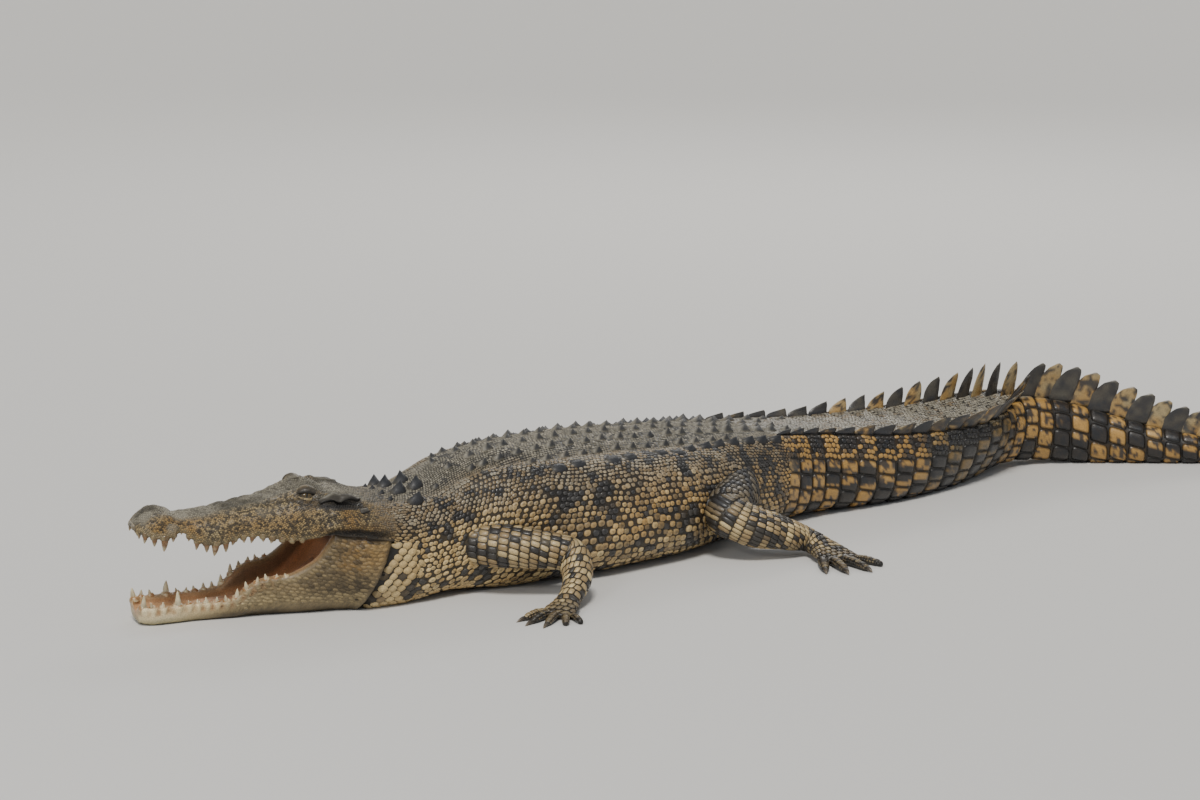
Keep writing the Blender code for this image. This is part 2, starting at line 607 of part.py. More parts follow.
def limb_ring(centre, along, wide, thick, sides=LIMB_SIDES):
    """An oval across the direction along; its long axis lies level."""
    level = along.cross(Vector((0, 0, 1))).normalized()
    up = level.cross(along).normalized()
    points = []
    for k in range(sides):
        angle = 2 * math.pi * k / sides
        point = centre + level * wide * math.cos(angle) + up * thick * math.sin(angle)
        point.z = max(point.z, 0.0)
        points.append(point)
    return points


def segment(name, stops, sign, rounded, grow=0.0):
    """One length of a limb, its far end rounded off where another length follows."""
    centres = smooth_path([place(s, sign * out, z) for (s, out, z), _ in stops], LIMB_SAMPLES)
    spans = smooth_path([Vector((*size, 0)) for _, size in stops], LIMB_SAMPLES)
    rings = []
    for i, (centre, span) in enumerate(zip(centres, spans)):
        along = (centres[min(i + 1, len(centres) - 1)] - centres[max(i - 1, 0)]).normalized()
        rings.append(limb_ring(centre, along, span.x + grow, span.y + grow))
    if rounded:
        for reach, width in ROUNDED_END:
            centre = centres[-1] + along * (span.y * reach + grow)
            rings.append(limb_ring(centre, along, (span.x + grow) * width, (span.y + grow) * width))
    return loft(name, rings)


def make_limb(segments, side, digits, body_tool):
    """A limb of three segments, each cut by the one before, with its digits and claws."""
    sign = SIDES[side]
    tool = body_tool
    for name, stops in segments.items():
        last = name in ("hand", "foot")
        piece = segment(f"{name}_{side}", stops, sign, not last)
        boolean(piece, tool, "DIFFERENCE")
        paint(piece, "flank", 0.5)
        tool = segment(f"{name}_cut_{side}", stops, sign, not last, CUT_CLEARANCE)
        hide_tool(tool)
    bpy.data.objects.remove(tool)
    ends = [place(s, sign * out, z) for (s, out, z), _ in stops[-2:]]
    forward = ends[1] - ends[0]
    forward.z = 0
    add_digits(piece, ends[1], forward.normalized(), digits, side)


def add_digits(palm, end, forward, digits, side):
    """Weld the digits to the palm and give the inner ones their claws."""
    sign = SIDES[side]
    across = Vector((-forward.y, forward.x, 0)) * -sign
    for number, (turn, shift, length, radius, clawed) in enumerate(digits, 1):
        angle = math.radians(turn) * -sign
        heading = Vector((forward.x * math.cos(angle) - forward.y * math.sin(angle),
                          forward.x * math.sin(angle) + forward.y * math.cos(angle), 0))
        root = end + across * shift - forward * DIGIT_ROOT
        reach = DIGIT_ROOT + length
        rings = []
        for share, width, lift in DIGIT_RINGS:
            centre = root + heading * reach * share
            centre.z = radius * width * DIGIT_REST + lift
            rings.append(limb_ring(centre, heading, radius * width, radius * width, DIGIT_SIDES))
        digit = loft(f"{palm.name}_digit_{number}", rings)
        boolean(palm, digit, "UNION")
        if clawed:
            foot = root + heading * (reach + GAP)
            foot.z = radius * CLAW_REST
            tip = foot + heading * CLAW_LENGTH
            tip.z = CLAW_TIP_HEIGHT
            claw = cone(f"{palm.name}_claw_{number}", foot, tip, radius * CLAW_WIDTH, CLAW_SIDES, heading)
            paint(claw, "claw", 0.3)


def make_limbs():
    places = [s for name in ("neck", "trunk_front", "trunk_rear", "tail_base")
              for s in body_stations(name)]
    tool_rings = [ring(body_outline(s, CUT_CLEARANCE), s) for s in places]
    for side in SIDES:
        for segments, digits in ((FORELIMB, FINGERS), (HINDLIMB, TOES)):
            tool = loft(f"body_cut_{side}_{len(digits)}", tool_rings)
            make_limb(segments, side, digits, tool)


def paint(obj, colour, roughness):
    """Give an object its own Principled material and smooth shading."""
    material = bpy.data.materials.new(obj.name)
    material.use_nodes = True
    shader = material.node_tree.nodes["Principled BSDF"]
    shader.inputs["Base Color"].default_value = (*COLOURS[colour], 1.0)
    shader.inputs["Roughness"].default_value = roughness
    shader.inputs["Metallic"].default_value = 0.0
    obj.data.materials.clear()
    obj.data.materials.append(material)
    obj.data.shade_smooth()
    obj.data.set_sharp_from_angle(angle=math.radians(50))


def main():
    for obj in list(bpy.data.objects):
        bpy.data.objects.remove(obj)
    make_head()
    make_body()
    make_limbs()


main()
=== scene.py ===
"""The looks of the saltwater crocodile: one skin, its scales, scutes and crest, teeth, eyes, lids and claws.

Shapes are made in straightened coordinates, the same as the solids': s is the distance from the tip
of the snout along the spine, out the distance to the animal's left of it, and z the height above the
floor. place() bends them into the pose. Lengths are metres and angles degrees.
"""

import math

import bmesh
import bpy
import numpy as np
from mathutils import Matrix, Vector
from mathutils.kdtree import KDTree


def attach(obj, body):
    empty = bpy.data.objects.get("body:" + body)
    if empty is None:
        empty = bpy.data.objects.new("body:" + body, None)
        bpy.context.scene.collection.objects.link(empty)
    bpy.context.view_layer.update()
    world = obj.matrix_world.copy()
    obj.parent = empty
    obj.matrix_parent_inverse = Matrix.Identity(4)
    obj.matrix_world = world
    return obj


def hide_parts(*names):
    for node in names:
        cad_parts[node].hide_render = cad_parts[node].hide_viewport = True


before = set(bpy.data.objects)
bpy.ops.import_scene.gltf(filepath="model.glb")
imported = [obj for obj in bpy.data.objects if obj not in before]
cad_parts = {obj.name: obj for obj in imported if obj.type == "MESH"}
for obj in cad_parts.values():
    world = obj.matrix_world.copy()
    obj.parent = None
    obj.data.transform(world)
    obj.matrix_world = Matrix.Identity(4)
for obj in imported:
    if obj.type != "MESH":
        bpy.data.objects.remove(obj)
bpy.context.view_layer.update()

BODY_LENGTH = 4.25

# The spine: (s, heading) pairs, heading measured from +X towards +Y.
SPINE_TURNS = [
    (0.0, -3), (0.32, -3), (0.58, -1), (0.85, 14), (1.1, 15), (1.55, 16), (2.0, 17),
    (2.35, 2), (2.7, 14), (3.0, 27), (3.17, 0), (3.35, -24), (3.55, -30), (4.25, -32),
]
SPINE_STEP = 0.005
SPINE_START = (-2.018, -0.209)

# The body behind the head, as (s, value) pairs.
HALF_WIDTH = [
    (0.72, 0.16), (0.84, 0.168), (0.97, 0.206), (1.1, 0.248), (1.35, 0.298), (1.55, 0.302),
    (1.75, 0.265), (1.9, 0.228), (2.05, 0.205), (2.2, 0.188), (2.45, 0.165), (2.75, 0.132),
    (3.05, 0.105), (3.25, 0.087), (3.55, 0.066), (3.85, 0.044), (4.1, 0.024), (4.25, 0.008),
]
TOP = [
    (0.72, 0.296), (0.78, 0.3), (0.88, 0.332), (0.98, 0.36), (1.12, 0.372), (1.34, 0.364),
    (1.65, 0.337), (1.88, 0.307), (2.13, 0.27), (2.35, 0.248), (2.65, 0.236), (2.95, 0.24),
    (3.17, 0.236), (3.3, 0.212), (3.47, 0.162), (3.63, 0.116), (3.77, 0.089), (4.0, 0.058),
    (4.25, 0.02),
]
BELLY = [(0.72, 0.0), (0.84, 0.012), (1.02, 0.0), (2.87, 0.0), (3.17, 0.018), (3.42, 0.0)]
FLAT_BACK = [
    (0.72, 0.085), (0.92, 0.1), (1.24, 0.15), (1.54, 0.16), (1.85, 0.152), (2.05, 0.149),
    (2.38, 0.132), (2.6, 0.108), (2.77, 0.088), (3.0, 0.056), (3.17, 0.016), (3.35, 0.006),
    (4.25, 0.002),
]
BACK_CROWN = [(0.72, 0.012), (1.22, 0.035), (1.62, 0.034), (2.02, 0.012), (2.32, 0.004), (4.25, 0.001)]
WIDEST_AT = [(0.72, 0.45), (1.12, 0.42), (1.72, 0.42), (2.12, 0.46), (3.02, 0.48), (4.25, 0.5)]
FLAT_BELLY = [(0.72, 0.55), (1.12, 0.58), (1.72, 0.55), (2.12, 0.42), (3.02, 0.35), (4.25, 0.3)]
# How far the top of the body leans to the left.
ROLL = [(0.0, 5), (0.52, 5), (0.87, 0), (2.22, 0), (2.62, 12), (2.97, 27), (3.17, 21),
        (3.42, 7), (3.82, 3), (4.25, 0)]
UPPER_POWER = 2.25      # roundness of a section above and below its widest height
LOWER_POWER = 2.35

# Tail whorls: each carries a pair of crest blades, and further back a single one.
TAIL_FROM = 2.05
DOUBLE_PITCH = 0.066
DOUBLE_WHORLS = 17
SINGLE_WHORLS = 20
SINGLE_PITCH_LOSS = 0.00142     # how much shorter each single whorl is than the one before

# Where the body is parted: by s.
NECK_FROM = 0.72

CREST_HEIGHT = [
    (2.05, 0.013), (2.35, 0.022), (2.55, 0.035), (2.75, 0.058), (2.95, 0.08), (3.17, 0.092),
    (3.45, 0.08), (3.75, 0.058), (4.0, 0.038), (4.25, 0.014),
]
BLADE_SPLAY = 16        # outward lean of the paired blades
BLADE_INSET = 0.004     # how far a paired blade stands in from the edge of the flat back

# The skull, with the upper jaw lifted.
CROWN = [
    (0.0, 0.27), (0.021, 0.296), (0.06, 0.316), (0.091, 0.309), (0.119, 0.296), (0.171, 0.297),
    (0.252, 0.304), (0.345, 0.314), (0.42, 0.322), (0.48, 0.322), (0.54, 0.315), (0.6, 0.308),
    (0.65, 0.3), (0.72, 0.296),
]
CROWN_HALF_WIDTH = [
    (0.0, 0.01), (0.021, 0.024), (0.06, 0.036), (0.119, 0.026), (0.213, 0.032), (0.32, 0.034),
    (0.39, 0.036), (0.44, 0.046), (0.48, 0.052), (0.53, 0.07), (0.6, 0.08), (0.72, 0.085),
]
BROW_RISE = [(0.0, -0.008), (0.32, -0.006), (0.41, 0.004), (0.46, 0.014), (0.495, 0.012),
             (0.54, 0.002), (0.62, -0.001), (0.72, -0.012)]
LIP_HALF_WIDTH = [
    (0.0, 0.014), (0.009, 0.034), (0.027, 0.052), (0.053, 0.064), (0.085, 0.067), (0.123, 0.056),
    (0.171, 0.07), (0.213, 0.078), (0.267, 0.079), (0.34, 0.088), (0.4, 0.102), (0.46, 0.119),
    (0.52, 0.137), (0.58, 0.152), (0.64, 0.162), (0.72, 0.16),
]
UPPER_LIP = [
    (0.0, 0.262), (0.032, 0.252), (0.075, 0.244), (0.123, 0.252), (0.165, 0.226), (0.213, 0.22),
    (0.277, 0.23), (0.32, 0.233), (0.36, 0.224), (0.42, 0.216), (0.47, 0.222), (0.52, 0.226),
]
PALATE_RISE = 0.014
SEAM = [(0.52, 0.226), (0.59, 0.216), (0.72, 0.18)]   # cheek line from the mouth's corner back
CORNER_AT = 0.52
THROAT_AT = 0.58
CHEEK_BLEND = (0.56, 0.72)     # where the head's sections pass into the neck's

# The lower jaw, lying on the floor.
JAW_HALF_WIDTH = [
    (0.0, 0.012), (0.009, 0.034), (0.027, 0.052), (0.064, 0.062), (0.107, 0.061), (0.16, 0.059),
    (0.235, 0.068), (0.32, 0.082), (0.4, 0.1), (0.48, 0.122), (0.54, 0.14), (0.62, 0.162),
    (0.72, 0.16),
]
JAW_BOTTOM = [(0.0, 0.018), (0.021, 0.006), (0.053, 0.0), (0.72, 0.0)]
LOWER_LIP = [
    (0.0, 0.046), (0.021, 0.053), (0.053, 0.052), (0.111, 0.053), (0.181, 0.052), (0.251, 0.053),
    (0.299, 0.084), (0.34, 0.106), (0.405, 0.115), (0.445, 0.134), (0.475, 0.156), (0.495, 0.182),
    (0.52, 0.222),
]
LIP_THICKNESS = [(0.0, 0.008), (0.032, 0.018), (0.16, 0.022), (0.37, 0.026), (0.52, 0.024)]
MOUTH_FLOOR = [(0.0, 0.036), (0.043, 0.036), (0.107, 0.032), (0.267, 0.032), (0.4, 0.05),
               (0.5, 0.11), (0.58, 0.21)]
JAW_LIP_SHARE = 0.94    # the lip's edge, as a share of the jaw's half width
LEAST_MOUTH_SHARE = 0.37
LIP_SLOPE = 0.002       # how much lower the lip's inner edge lies

TONGUE = (0.14, 0.52)   # where it starts and ends
TONGUE_SHARE = 0.44     # its half width, as a share of the mouth's
TONGUE_THICKNESS = 0.016

EYE_AT = 0.467
EYE_OUT = 0.054
EYE_HEIGHT = 0.317
EYE_RADIUS = 0.0235

# Teeth: (s, length, radius).
UPPER_TEETH = [
    (0.013, 0.016, 0.004), (0.028, 0.022, 0.005), (0.048, 0.026, 0.0058), (0.075, 0.032, 0.0068),
    (0.1, 0.018, 0.0048), (0.143, 0.014, 0.0042), (0.163, 0.02, 0.005), (0.186, 0.027, 0.006),
    (0.21, 0.034, 0.0072), (0.236, 0.026, 0.006), (0.26, 0.018, 0.0052), (0.285, 0.016, 0.005),
    (0.31, 0.018, 0.0052), (0.336, 0.019, 0.0054), (0.361, 0.018, 0.0054), (0.386, 0.016, 0.005),
    (0.411, 0.014, 0.0048), (0.436, 0.011, 0.0044),
]
LOWER_TEETH = [
    (0.023, 0.032, 0.0066), (0.045, 0.018, 0.005), (0.073, 0.017, 0.0048), (0.114, 0.038, 0.0076),
    (0.145, 0.013, 0.0042), (0.169, 0.014, 0.0044), (0.193, 0.016, 0.0048), (0.219, 0.017, 0.005),
    (0.245, 0.019, 0.0052), (0.271, 0.024, 0.0058), (0.298, 0.025, 0.006), (0.324, 0.018, 0.0054),
    (0.349, 0.016, 0.0052), (0.374, 0.014, 0.005), (0.399, 0.011, 0.0046),
]
TOOTH_INSET = 0.008     # how far a tooth stands in from the lip's edge
TOOTH_ROOT = 0.007      # how deep it is rooted
TOOTH_RAKE = 0.002      # how far its tip lies ahead of its root
UPPER_LEAN = 0.1        # outward lean of the tip, as a share of the length
LOWER_LEAN = 0.16

# Limbs: the stops of each segment as (s, out, z), with (half width, half thickness) there.
# A segment starts inside the one before it and is cut by it.
FORELIMB = {
    "upper_arm": [((0.9, 0.13, 0.14), (0.062, 0.064)), ((0.97, 0.225, 0.135), (0.058, 0.06)),
                  ((1.04, 0.295, 0.125), (0.05, 0.051)), ((1.08, 0.335, 0.11), (0.046, 0.047))],
    "forearm": [((1.08, 0.34, 0.105), (0.038, 0.038)), ((1.055, 0.388, 0.07), (0.042, 0.041)),
                ((1.015, 0.42, 0.045), (0.036, 0.033)), ((0.98, 0.44, 0.032), (0.033, 0.027))],
    "hand": [((0.985, 0.437, 0.026), (0.03, 0.022)), ((0.955, 0.455, 0.021), (0.04, 0.02)),
             ((0.925, 0.471, 0.016), (0.047, 0.016)), ((0.9, 0.484, 0.012), (0.045, 0.012))],
}
HINDLIMB = {
    "thigh": [((1.88, 0.09, 0.15), (0.092, 0.085)), ((1.81, 0.19, 0.15), (0.088, 0.082)),
              ((1.72, 0.275, 0.138), (0.076, 0.072)), ((1.675, 0.32, 0.125), (0.064, 0.062))],
    "shank": [((1.67, 0.325, 0.118), (0.054, 0.052)), ((1.71, 0.375, 0.095), (0.06, 0.058)),
              ((1.785, 0.415, 0.07), (0.053, 0.049)), ((1.855, 0.445, 0.045), (0.043, 0.037))],
    "foot": [((1.855, 0.445, 0.036), (0.038, 0.032)), ((1.87, 0.49, 0.028), (0.048, 0.026)),
             ((1.862, 0.535, 0.02), (0.057, 0.018)), ((1.846, 0.585, 0.014), (0.062, 0.013))],
}
# Toes: (turn from the limb's end, shift across it, length, radius, has a claw), innermost first.
FINGERS = [(26, 0.034, 0.05, 0.0125, True), (10, 0.02, 0.066, 0.0125, True),
           (-6, 0.002, 0.072, 0.012, True), (-24, -0.016, 0.066, 0.0105, False),
           (-44, -0.031, 0.052, 0.0095, False)]
TOES = [(22, 0.045, 0.07, 0.0145, True), (7, 0.02, 0.096, 0.0145, True),
        (-8, -0.01, 0.104, 0.014, True), (-26, -0.04, 0.088, 0.012, False)]
DIGIT_ROOT = 0.022      # how deep a digit is rooted in the palm
DIGIT_REST = 0.86       # height of a digit's middle over the floor, in radii
PALM_END = [(0.006, 0.93), (0.01, 0.75), (0.012, 0.4)]      # (reach, width) of the rings that round it off
LIMB_SIDES, TOE_SIDES, TOE_LEVELS = 40, 14, 15
LIMB_SAMPLES = 7        # rings to a step between two stops
CLAW_LENGTH = 0.024
CLAW_WIDTH = 0.52       # radius of a claw's foot, in radii of its digit
CLAW_REST = 0.62        # height of its foot, in radii of its digit
CLAW_TIP_HEIGHT = 0.002

COAT_DEPTH = [(0.0, 0.0012), (0.6, 0.0012), (0.72, 0.003), (0.95, 0.005), (2.05, 0.006), (3.0, 0.005),
              (3.6, 0.003), (4.25, 0.0012)]
LIMB_COAT = 0.003
CLAW_GAP = 0.0003
LID_GAPE = (24.0, 9.0)     # degrees that the upper and lower lid stand open
LID_GAP = 0.0002        # how far lids and socket stand off the eyeball's radius

CAMERA_PLACE = (-5.301, -9.35, 2.61)
CAMERA_TURN = 27.0
CAMERA_PITCH = 11.79
CAMERA_LENS = 114.39


def profile(pairs, s):
    """Read a table of (s, value) pairs with a smooth curve that never overshoots."""
    xs, ys = np.array(pairs, dtype=float).T
    s = np.clip(s, xs[0], xs[-1])
    span = np.diff(xs)
    slopes = np.diff(ys) / span
    product = slopes[:-1] * slopes[1:]
    total = np.where(product > 0, slopes[:-1] + slopes[1:], 1.0)
    tangents = np.concatenate([slopes[:1], np.where(product > 0, 2 * product / total, 0.0), slopes[-1:]])
    i = np.clip(np.searchsorted(xs, s, side="right") - 1, 0, len(xs) - 2)
    t = (s - xs[i]) / span[i]
    return ((2 * t**3 - 3 * t**2 + 1) * ys[i] + (t**3 - 2 * t**2 + t) * span[i] * tangents[i]
            + (3 * t**2 - 2 * t**3) * ys[i + 1] + (t**3 - t**2) * span[i] * tangents[i + 1])


def walk_spine():
    """Points along the spine on the floor plan, one every SPINE_STEP."""
    turns = np.radians(profile(SPINE_TURNS, (np.arange(round(BODY_LENGTH / SPINE_STEP)) + 0.5) * SPINE_STEP))
    steps = SPINE_STEP * np.stack([np.cos(turns), np.sin(turns)], axis=1)
    return np.array(SPINE_START) + np.concatenate([[[0.0, 0.0]], np.cumsum(steps, axis=0)])


SPINE = walk_spine()
SPINE_S = np.arange(len(SPINE)) * SPINE_STEP


def place(points):
    """Bend straightened points (s, out, z) into the pose."""
    s, out, z = np.asarray(points, dtype=float).reshape(-1, 3).T
    roll = np.radians(profile(ROLL, s))
    pivot = profile(TOP, s) * profile(WIDEST_AT, s)
    turned = out * np.cos(roll) + (z - pivot) * np.sin(roll)
    z = pivot + (z - pivot) * np.cos(roll) - out * np.sin(roll)
    heading = np.radians(profile(SPINE_TURNS, s))
    x = np.interp(s, SPINE_S, SPINE[:, 0]) + turned * np.sin(heading)
    y = np.interp(s, SPINE_S, SPINE[:, 1]) - turned * np.cos(heading)
    return np.stack([x, y, np.maximum(z, 0.0)], axis=1)


def unit(value):
    """The value held between nought and one."""
    return np.clip(value, 0.0, 1.0)


def ramp(low, high, value):
    """A smooth step from nought at low to one at high; low may be the greater."""
    t = unit((value - low) / (high - low))
    return t * t * (3 - 2 * t)


def bell(value, width):
    """One at nought, and falling away on both sides over the width."""
    return np.exp(-(value / width) ** 2)


def mix(a, b, share):
    """A share of the way from a to b; a list of shares has one for each row of a or b."""
    share = np.asarray(share)
    if share.ndim == 1 and (np.ndim(a) > 1 or np.ndim(b) > 1 or np.shape(a)[-1:] == (3,)):
        share = share[:, None]
    return a + (b - a) * share


def painted(colour, *coats):
    """The colour under coats of (other colour, share), laid one over the other."""
    for other, share in coats:
        colour = mix(colour, other, share)
    return colour


def once_round(count):
    """Equal angles once round."""
    return np.linspace(0, 2 * math.pi, count, endpoint=False)


def squared(wave, power):
    """A sine or cosine raised to a power, with its sign kept, for rounded squares."""
    return np.sign(wave) * abs(wave) ** power


def noise(points, size, seed):
    """Smooth value noise from -1 to 1 over points, with features of that size in metres."""
    q = points / size + seed * 7.31
    cell = np.floor(q).astype(np.int64)
    f = q - cell
    f = f * f * (3 - 2 * f)
    total = 0.0
    for corner in range(8):
        step = np.array([corner & 1, corner >> 1 & 1, corner >> 2])
        i, j, k = (cell + step).T
        n = (i * 374761393 + j * 668265263 + k * 1442695041 + seed * 974711) & 0xFFFFFFFF
        n = ((n ^ (n >> 13)) * 1274126177) & 0xFFFFFFFF
        value = ((n ^ (n >> 16)) & 0xFFFF) / 32767.5 - 1.0
        total = total + value * np.prod(np.where(step, f, 1 - f), axis=1)
    return total


def fractal(points, size, seed):
    """Three octaves of noise."""
    return (noise(points, size, seed) + 0.5 * noise(points, size / 2, seed + 1)
            + 0.25 * noise(points, size / 4, seed + 2)) / 1.4


# ---------------------------------------------------------------- sections

HALF_SAMPLES = 10               # points to a step of a section's outline
SKULL_SPLIT, JAW_SPLIT = 6, 5   # which of its steps ends at the lip
OUTER, INNER = 38, 22           # steps of a half ring outside and inside of the lip
JAW_OUTER, JAW_INNER = 26, 18
NECK_OVERLAP = {1: 0.006, -1: 0.004}    # how far the halves of the neck reach past the cheek line
JAW_END_SHRINK = 0.97           # the jaw's last rings, hidden inside the neck


def arc(line):
    """Running length along a line of points."""
    return np.concatenate([[0.0], np.cumsum(np.hypot(*np.diff(line, axis=0).T))])


def read_line(line, along, want):
    """Points of the line at the wanted lengths along it."""
    return np.stack([np.interp(want, along, line[:, 0]), np.interp(want, along, line[:, 1])], axis=1)


def resample(line, count):
    """The line as count + 1 points at equal distances."""
    along = arc(line)
    return read_line(line, along, np.linspace(0, along[-1], count + 1))


def smooth_line(p, samples):
    """A line through all the points but the first and the last, which only steer its ends."""
    t = np.linspace(0, 1, samples, endpoint=False)[:, None]
    line = [0.5 * (2 * b + (c - a) * t + (2 * a - 5 * b + 4 * c - d) * t**2 + (3 * b - a - 3 * c + d) * t**3)
            for a, b, c, d in zip(p, p[1:], p[2:], p[3:])]
    return np.concatenate(line + [p[-2:-1]])


def rounded(points):
    """A smooth line through the points, level where it crosses the midline, HALF_SAMPLES to a step."""
    p, mirror = np.asarray(points, dtype=float), np.array([-1.0, 1.0])
    return smooth_line(np.concatenate([p[1:2] * mirror, p, p[-2:-1] * mirror]), HALF_SAMPLES)


def body_line(s, depth=0.0):
    """Half of the body's section at s, from the middle of the back to the middle of the belly."""
    top, bottom = profile(TOP, s) - depth, profile(BELLY, s) + depth
    wide = profile(HALF_WIDTH, s) - depth
    widest = bottom + profile(WIDEST_AT, s) * (top - bottom)
    crown = profile(BACK_CROWN, s)
    back = min(profile(FLAT_BACK, s), wide * 0.9)
    belly = wide * profile(FLAT_BELLY, s)
    out = np.linspace(0, back, 12)
    line = [np.stack([out, top - crown * (out / back) ** 2], axis=1)]
    angle = np.linspace(math.pi / 2, 0, 22)[1:]
    line.append(np.stack([back + (wide - back) * np.cos(angle) ** (2 / UPPER_POWER),
                          widest + (top - crown - widest) * np.sin(angle) ** (2 / UPPER_POWER)], axis=1))
    angle = np.linspace(0, math.pi / 2, 22)[1:]
    line.append(np.stack([belly + (wide - belly) * np.cos(angle) ** (2 / LOWER_POWER),
                          widest + (bottom - widest) * np.sin(angle) ** (2 / LOWER_POWER)], axis=1))
    line.append([[0.0, bottom]])
    return np.concatenate(line)


def split_at(line, z):
    """The part of a falling line above height z and the part below it."""
    i = int(np.argmax(line[:, 1] < z))
    share = (line[i - 1, 1] - z) / (line[i - 1, 1] - line[i, 1])
    cut = line[i - 1] + (line[i] - line[i - 1]) * share
    return np.concatenate([line[:i], [cut]]), np.concatenate([[cut], line[i:]])


def upper_bottom(s):
    """Lip and palate heights of the upper jaw, meeting the cheek line behind the mouth."""
    lip = profile(UPPER_LIP, s) if s < CORNER_AT else profile(SEAM, s)
    return lip, lip + PALATE_RISE * (1 - ramp(CORNER_AT - 0.04, THROAT_AT, s))


def skull_lines(s, depth):
    """Half of the skull's section: crown to lip, and lip to the middle of the palate."""
    lip, palate = upper_bottom(s)
    wide = profile(LIP_HALF_WIDTH, s) - depth
    crown = profile(CROWN, s) - depth
    back = profile(CROWN_HALF_WIDTH, s) - depth * 0.5
    brow = crown + profile(BROW_RISE, s)
    lip, palate = lip + depth * 0.5, palate + depth
    height = brow - lip
    outer = [(0.0, crown), (back * 0.55, (brow + crown) / 2), (back, brow),
             (wide * 0.36 + back * 0.64, lip + height * 0.88), (wide * 0.8 + back * 0.2, lip + height * 0.62),
             (wide, lip + height * 0.3), (wide * 0.97, lip), (wide * 0.84, lip + (palate - lip) * 0.35),
             (wide * 0.55, palate), (0.0, palate)]
    line = rounded(outer)
    return line[:SKULL_SPLIT * HALF_SAMPLES + 1], line[SKULL_SPLIT * HALF_SAMPLES:]


def jaw_lines(s, depth):
    """Half of the lower jaw's section: chin to lip, and lip to the middle of the mouth's floor."""
    lip_above, palate = upper_bottom(s)
    lip = min(profile(LOWER_LIP, s), lip_above) if s < CORNER_AT else lip_above
    floor = min(profile(MOUTH_FLOOR, s), palate) if s < THROAT_AT else lip_above
    floor = min(floor, palate) - depth
    wide = profile(JAW_HALF_WIDTH, s)
    edge = wide * JAW_LIP_SHARE
    inner = max(edge - profile(LIP_THICKNESS, s), edge * LEAST_MOUTH_SHARE) + depth * 0.5
    wide, lip = wide - depth, lip - depth * 0.5
    bottom = profile(JAW_BOTTOM, s) + depth
    height = lip - bottom
    line = rounded([(0.0, bottom), (wide * 0.55, bottom), (wide * 0.86, bottom + height * 0.16),
                    (wide, bottom + height * 0.5), (wide * 0.99, bottom + height * 0.8), (edge - depth, lip),
                    (inner, lip - LIP_SLOPE), (inner * 0.86, floor + (lip - floor) * 0.12),
                    (inner * 0.45, floor), (0.0, floor)])
    return line[:JAW_SPLIT * HALF_SAMPLES + 1], line[JAW_SPLIT * HALF_SAMPLES:]


def neck_lines(s, depth, up):
    """The neck's section above or below the cheek line, as an outer line and one across the middle."""
    seam = profile(SEAM, s)
    above, below = split_at(body_line(s, depth), seam)
    edge, across = above[-1, 0], seam - up * NECK_OVERLAP[up]
    return above if up > 0 else below[::-1], np.array([[edge, seam], [edge - 0.004, across], [0.0, across]])


def blended(s, head, neck, steps):
    """Half a ring that passes from the head's lines into the neck's."""
    first, second = ([resample(line, n) for line, n in zip(lines, steps)] for lines in (head, neck))
    a, b = (p + (q - p) * ramp(*CHEEK_BLEND, s) for p, q in zip(first, second))
    return np.concatenate([a, b[1:]])


def upper_half(s):
    """Half a ring of the skull or body skin at s."""
    depth = profile(COAT_DEPTH, s)
    if s < NECK_FROM:
        return blended(s, skull_lines(s, depth), neck_lines(s, depth, 1), (OUTER, INNER))
    line = body_line(s, depth)
    along = arc(line)
    first = body_line(NECK_FROM, depth)
    start = arc(split_at(first, profile(SEAM, NECK_FROM))[0])[-1] / arc(first)[-1]
    cut = (start + (OUTER / (OUTER + INNER) - start) * ramp(NECK_FROM, 1.0, s)) * along[-1]
    want = np.concatenate([np.linspace(0, cut, OUTER + 1), np.linspace(cut, along[-1], INNER + 1)[1:]])
    return read_line(line, along, want)


def jaw_half(s):
    """Half a ring of the lower jaw's skin at s, from chin to mouth floor."""
    depth = profile(COAT_DEPTH, s)
    ring = blended(s, jaw_lines(s, depth), neck_lines(min(s, NECK_FROM), depth, -1), (JAW_OUTER, JAW_INNER))
    if s > NECK_FROM:
        middle = np.array([0.0, profile(SEAM, NECK_FROM) / 2])
        ring = middle + (ring - middle) * JAW_END_SHRINK
    return ring


class Surface:
    """A grid of points over one part: rows along it, columns round it, the last next to the first."""

    def __init__(self, rows, points):
        self.rows, self.points = np.asarray(rows), points
        self.normals = self.find_normals(points)

    def find_normals(self, points):
        along = np.gradient(points, axis=0)
        around = np.roll(points, -1, axis=1) - np.roll(points, 1, axis=1)
        normals = np.cross(along, around)
        normals /= np.maximum(np.linalg.norm(normals, axis=2, keepdims=True), 1e-12)
        centre = points.mean(axis=1, keepdims=True)
        return normals * np.sign(((points - centre) * normals).sum(axis=(1, 2), keepdims=True))

    def swell(self, amount):
        """Move the points out along their normals."""
        self.points = self.points + self.normals * amount[..., None]
        self.points[..., 2] = np.maximum(self.points[..., 2], 0.0)
        self.normals = self.find_normals(self.points)

    def pose(self):
        """Keep the points and normals as they lie when bent into the pose."""
        shape = self.points.shape
        self.bent = place(self.points.reshape(-1, 3)).reshape(shape)
        self.bent_normals = self.find_normals(self.bent)
        return self

    def read(self, row, column, grid):
        """Bilinear values of a grid at fractional rows and columns."""
        n, m = grid.shape[:2]
        row = np.clip(row, 0, n - 1.001)
        i = row.astype(int)
        f = (row - i)[:, None]
        j = np.floor(column).astype(int)
        g = (column - j)[:, None]
        j, k = j % m, (j + 1) % m
        return ((grid[i, j] * (1 - f) + grid[i + 1, j] * f) * (1 - g)
                + (grid[i, k] * (1 - f) + grid[i + 1, k] * f) * g)


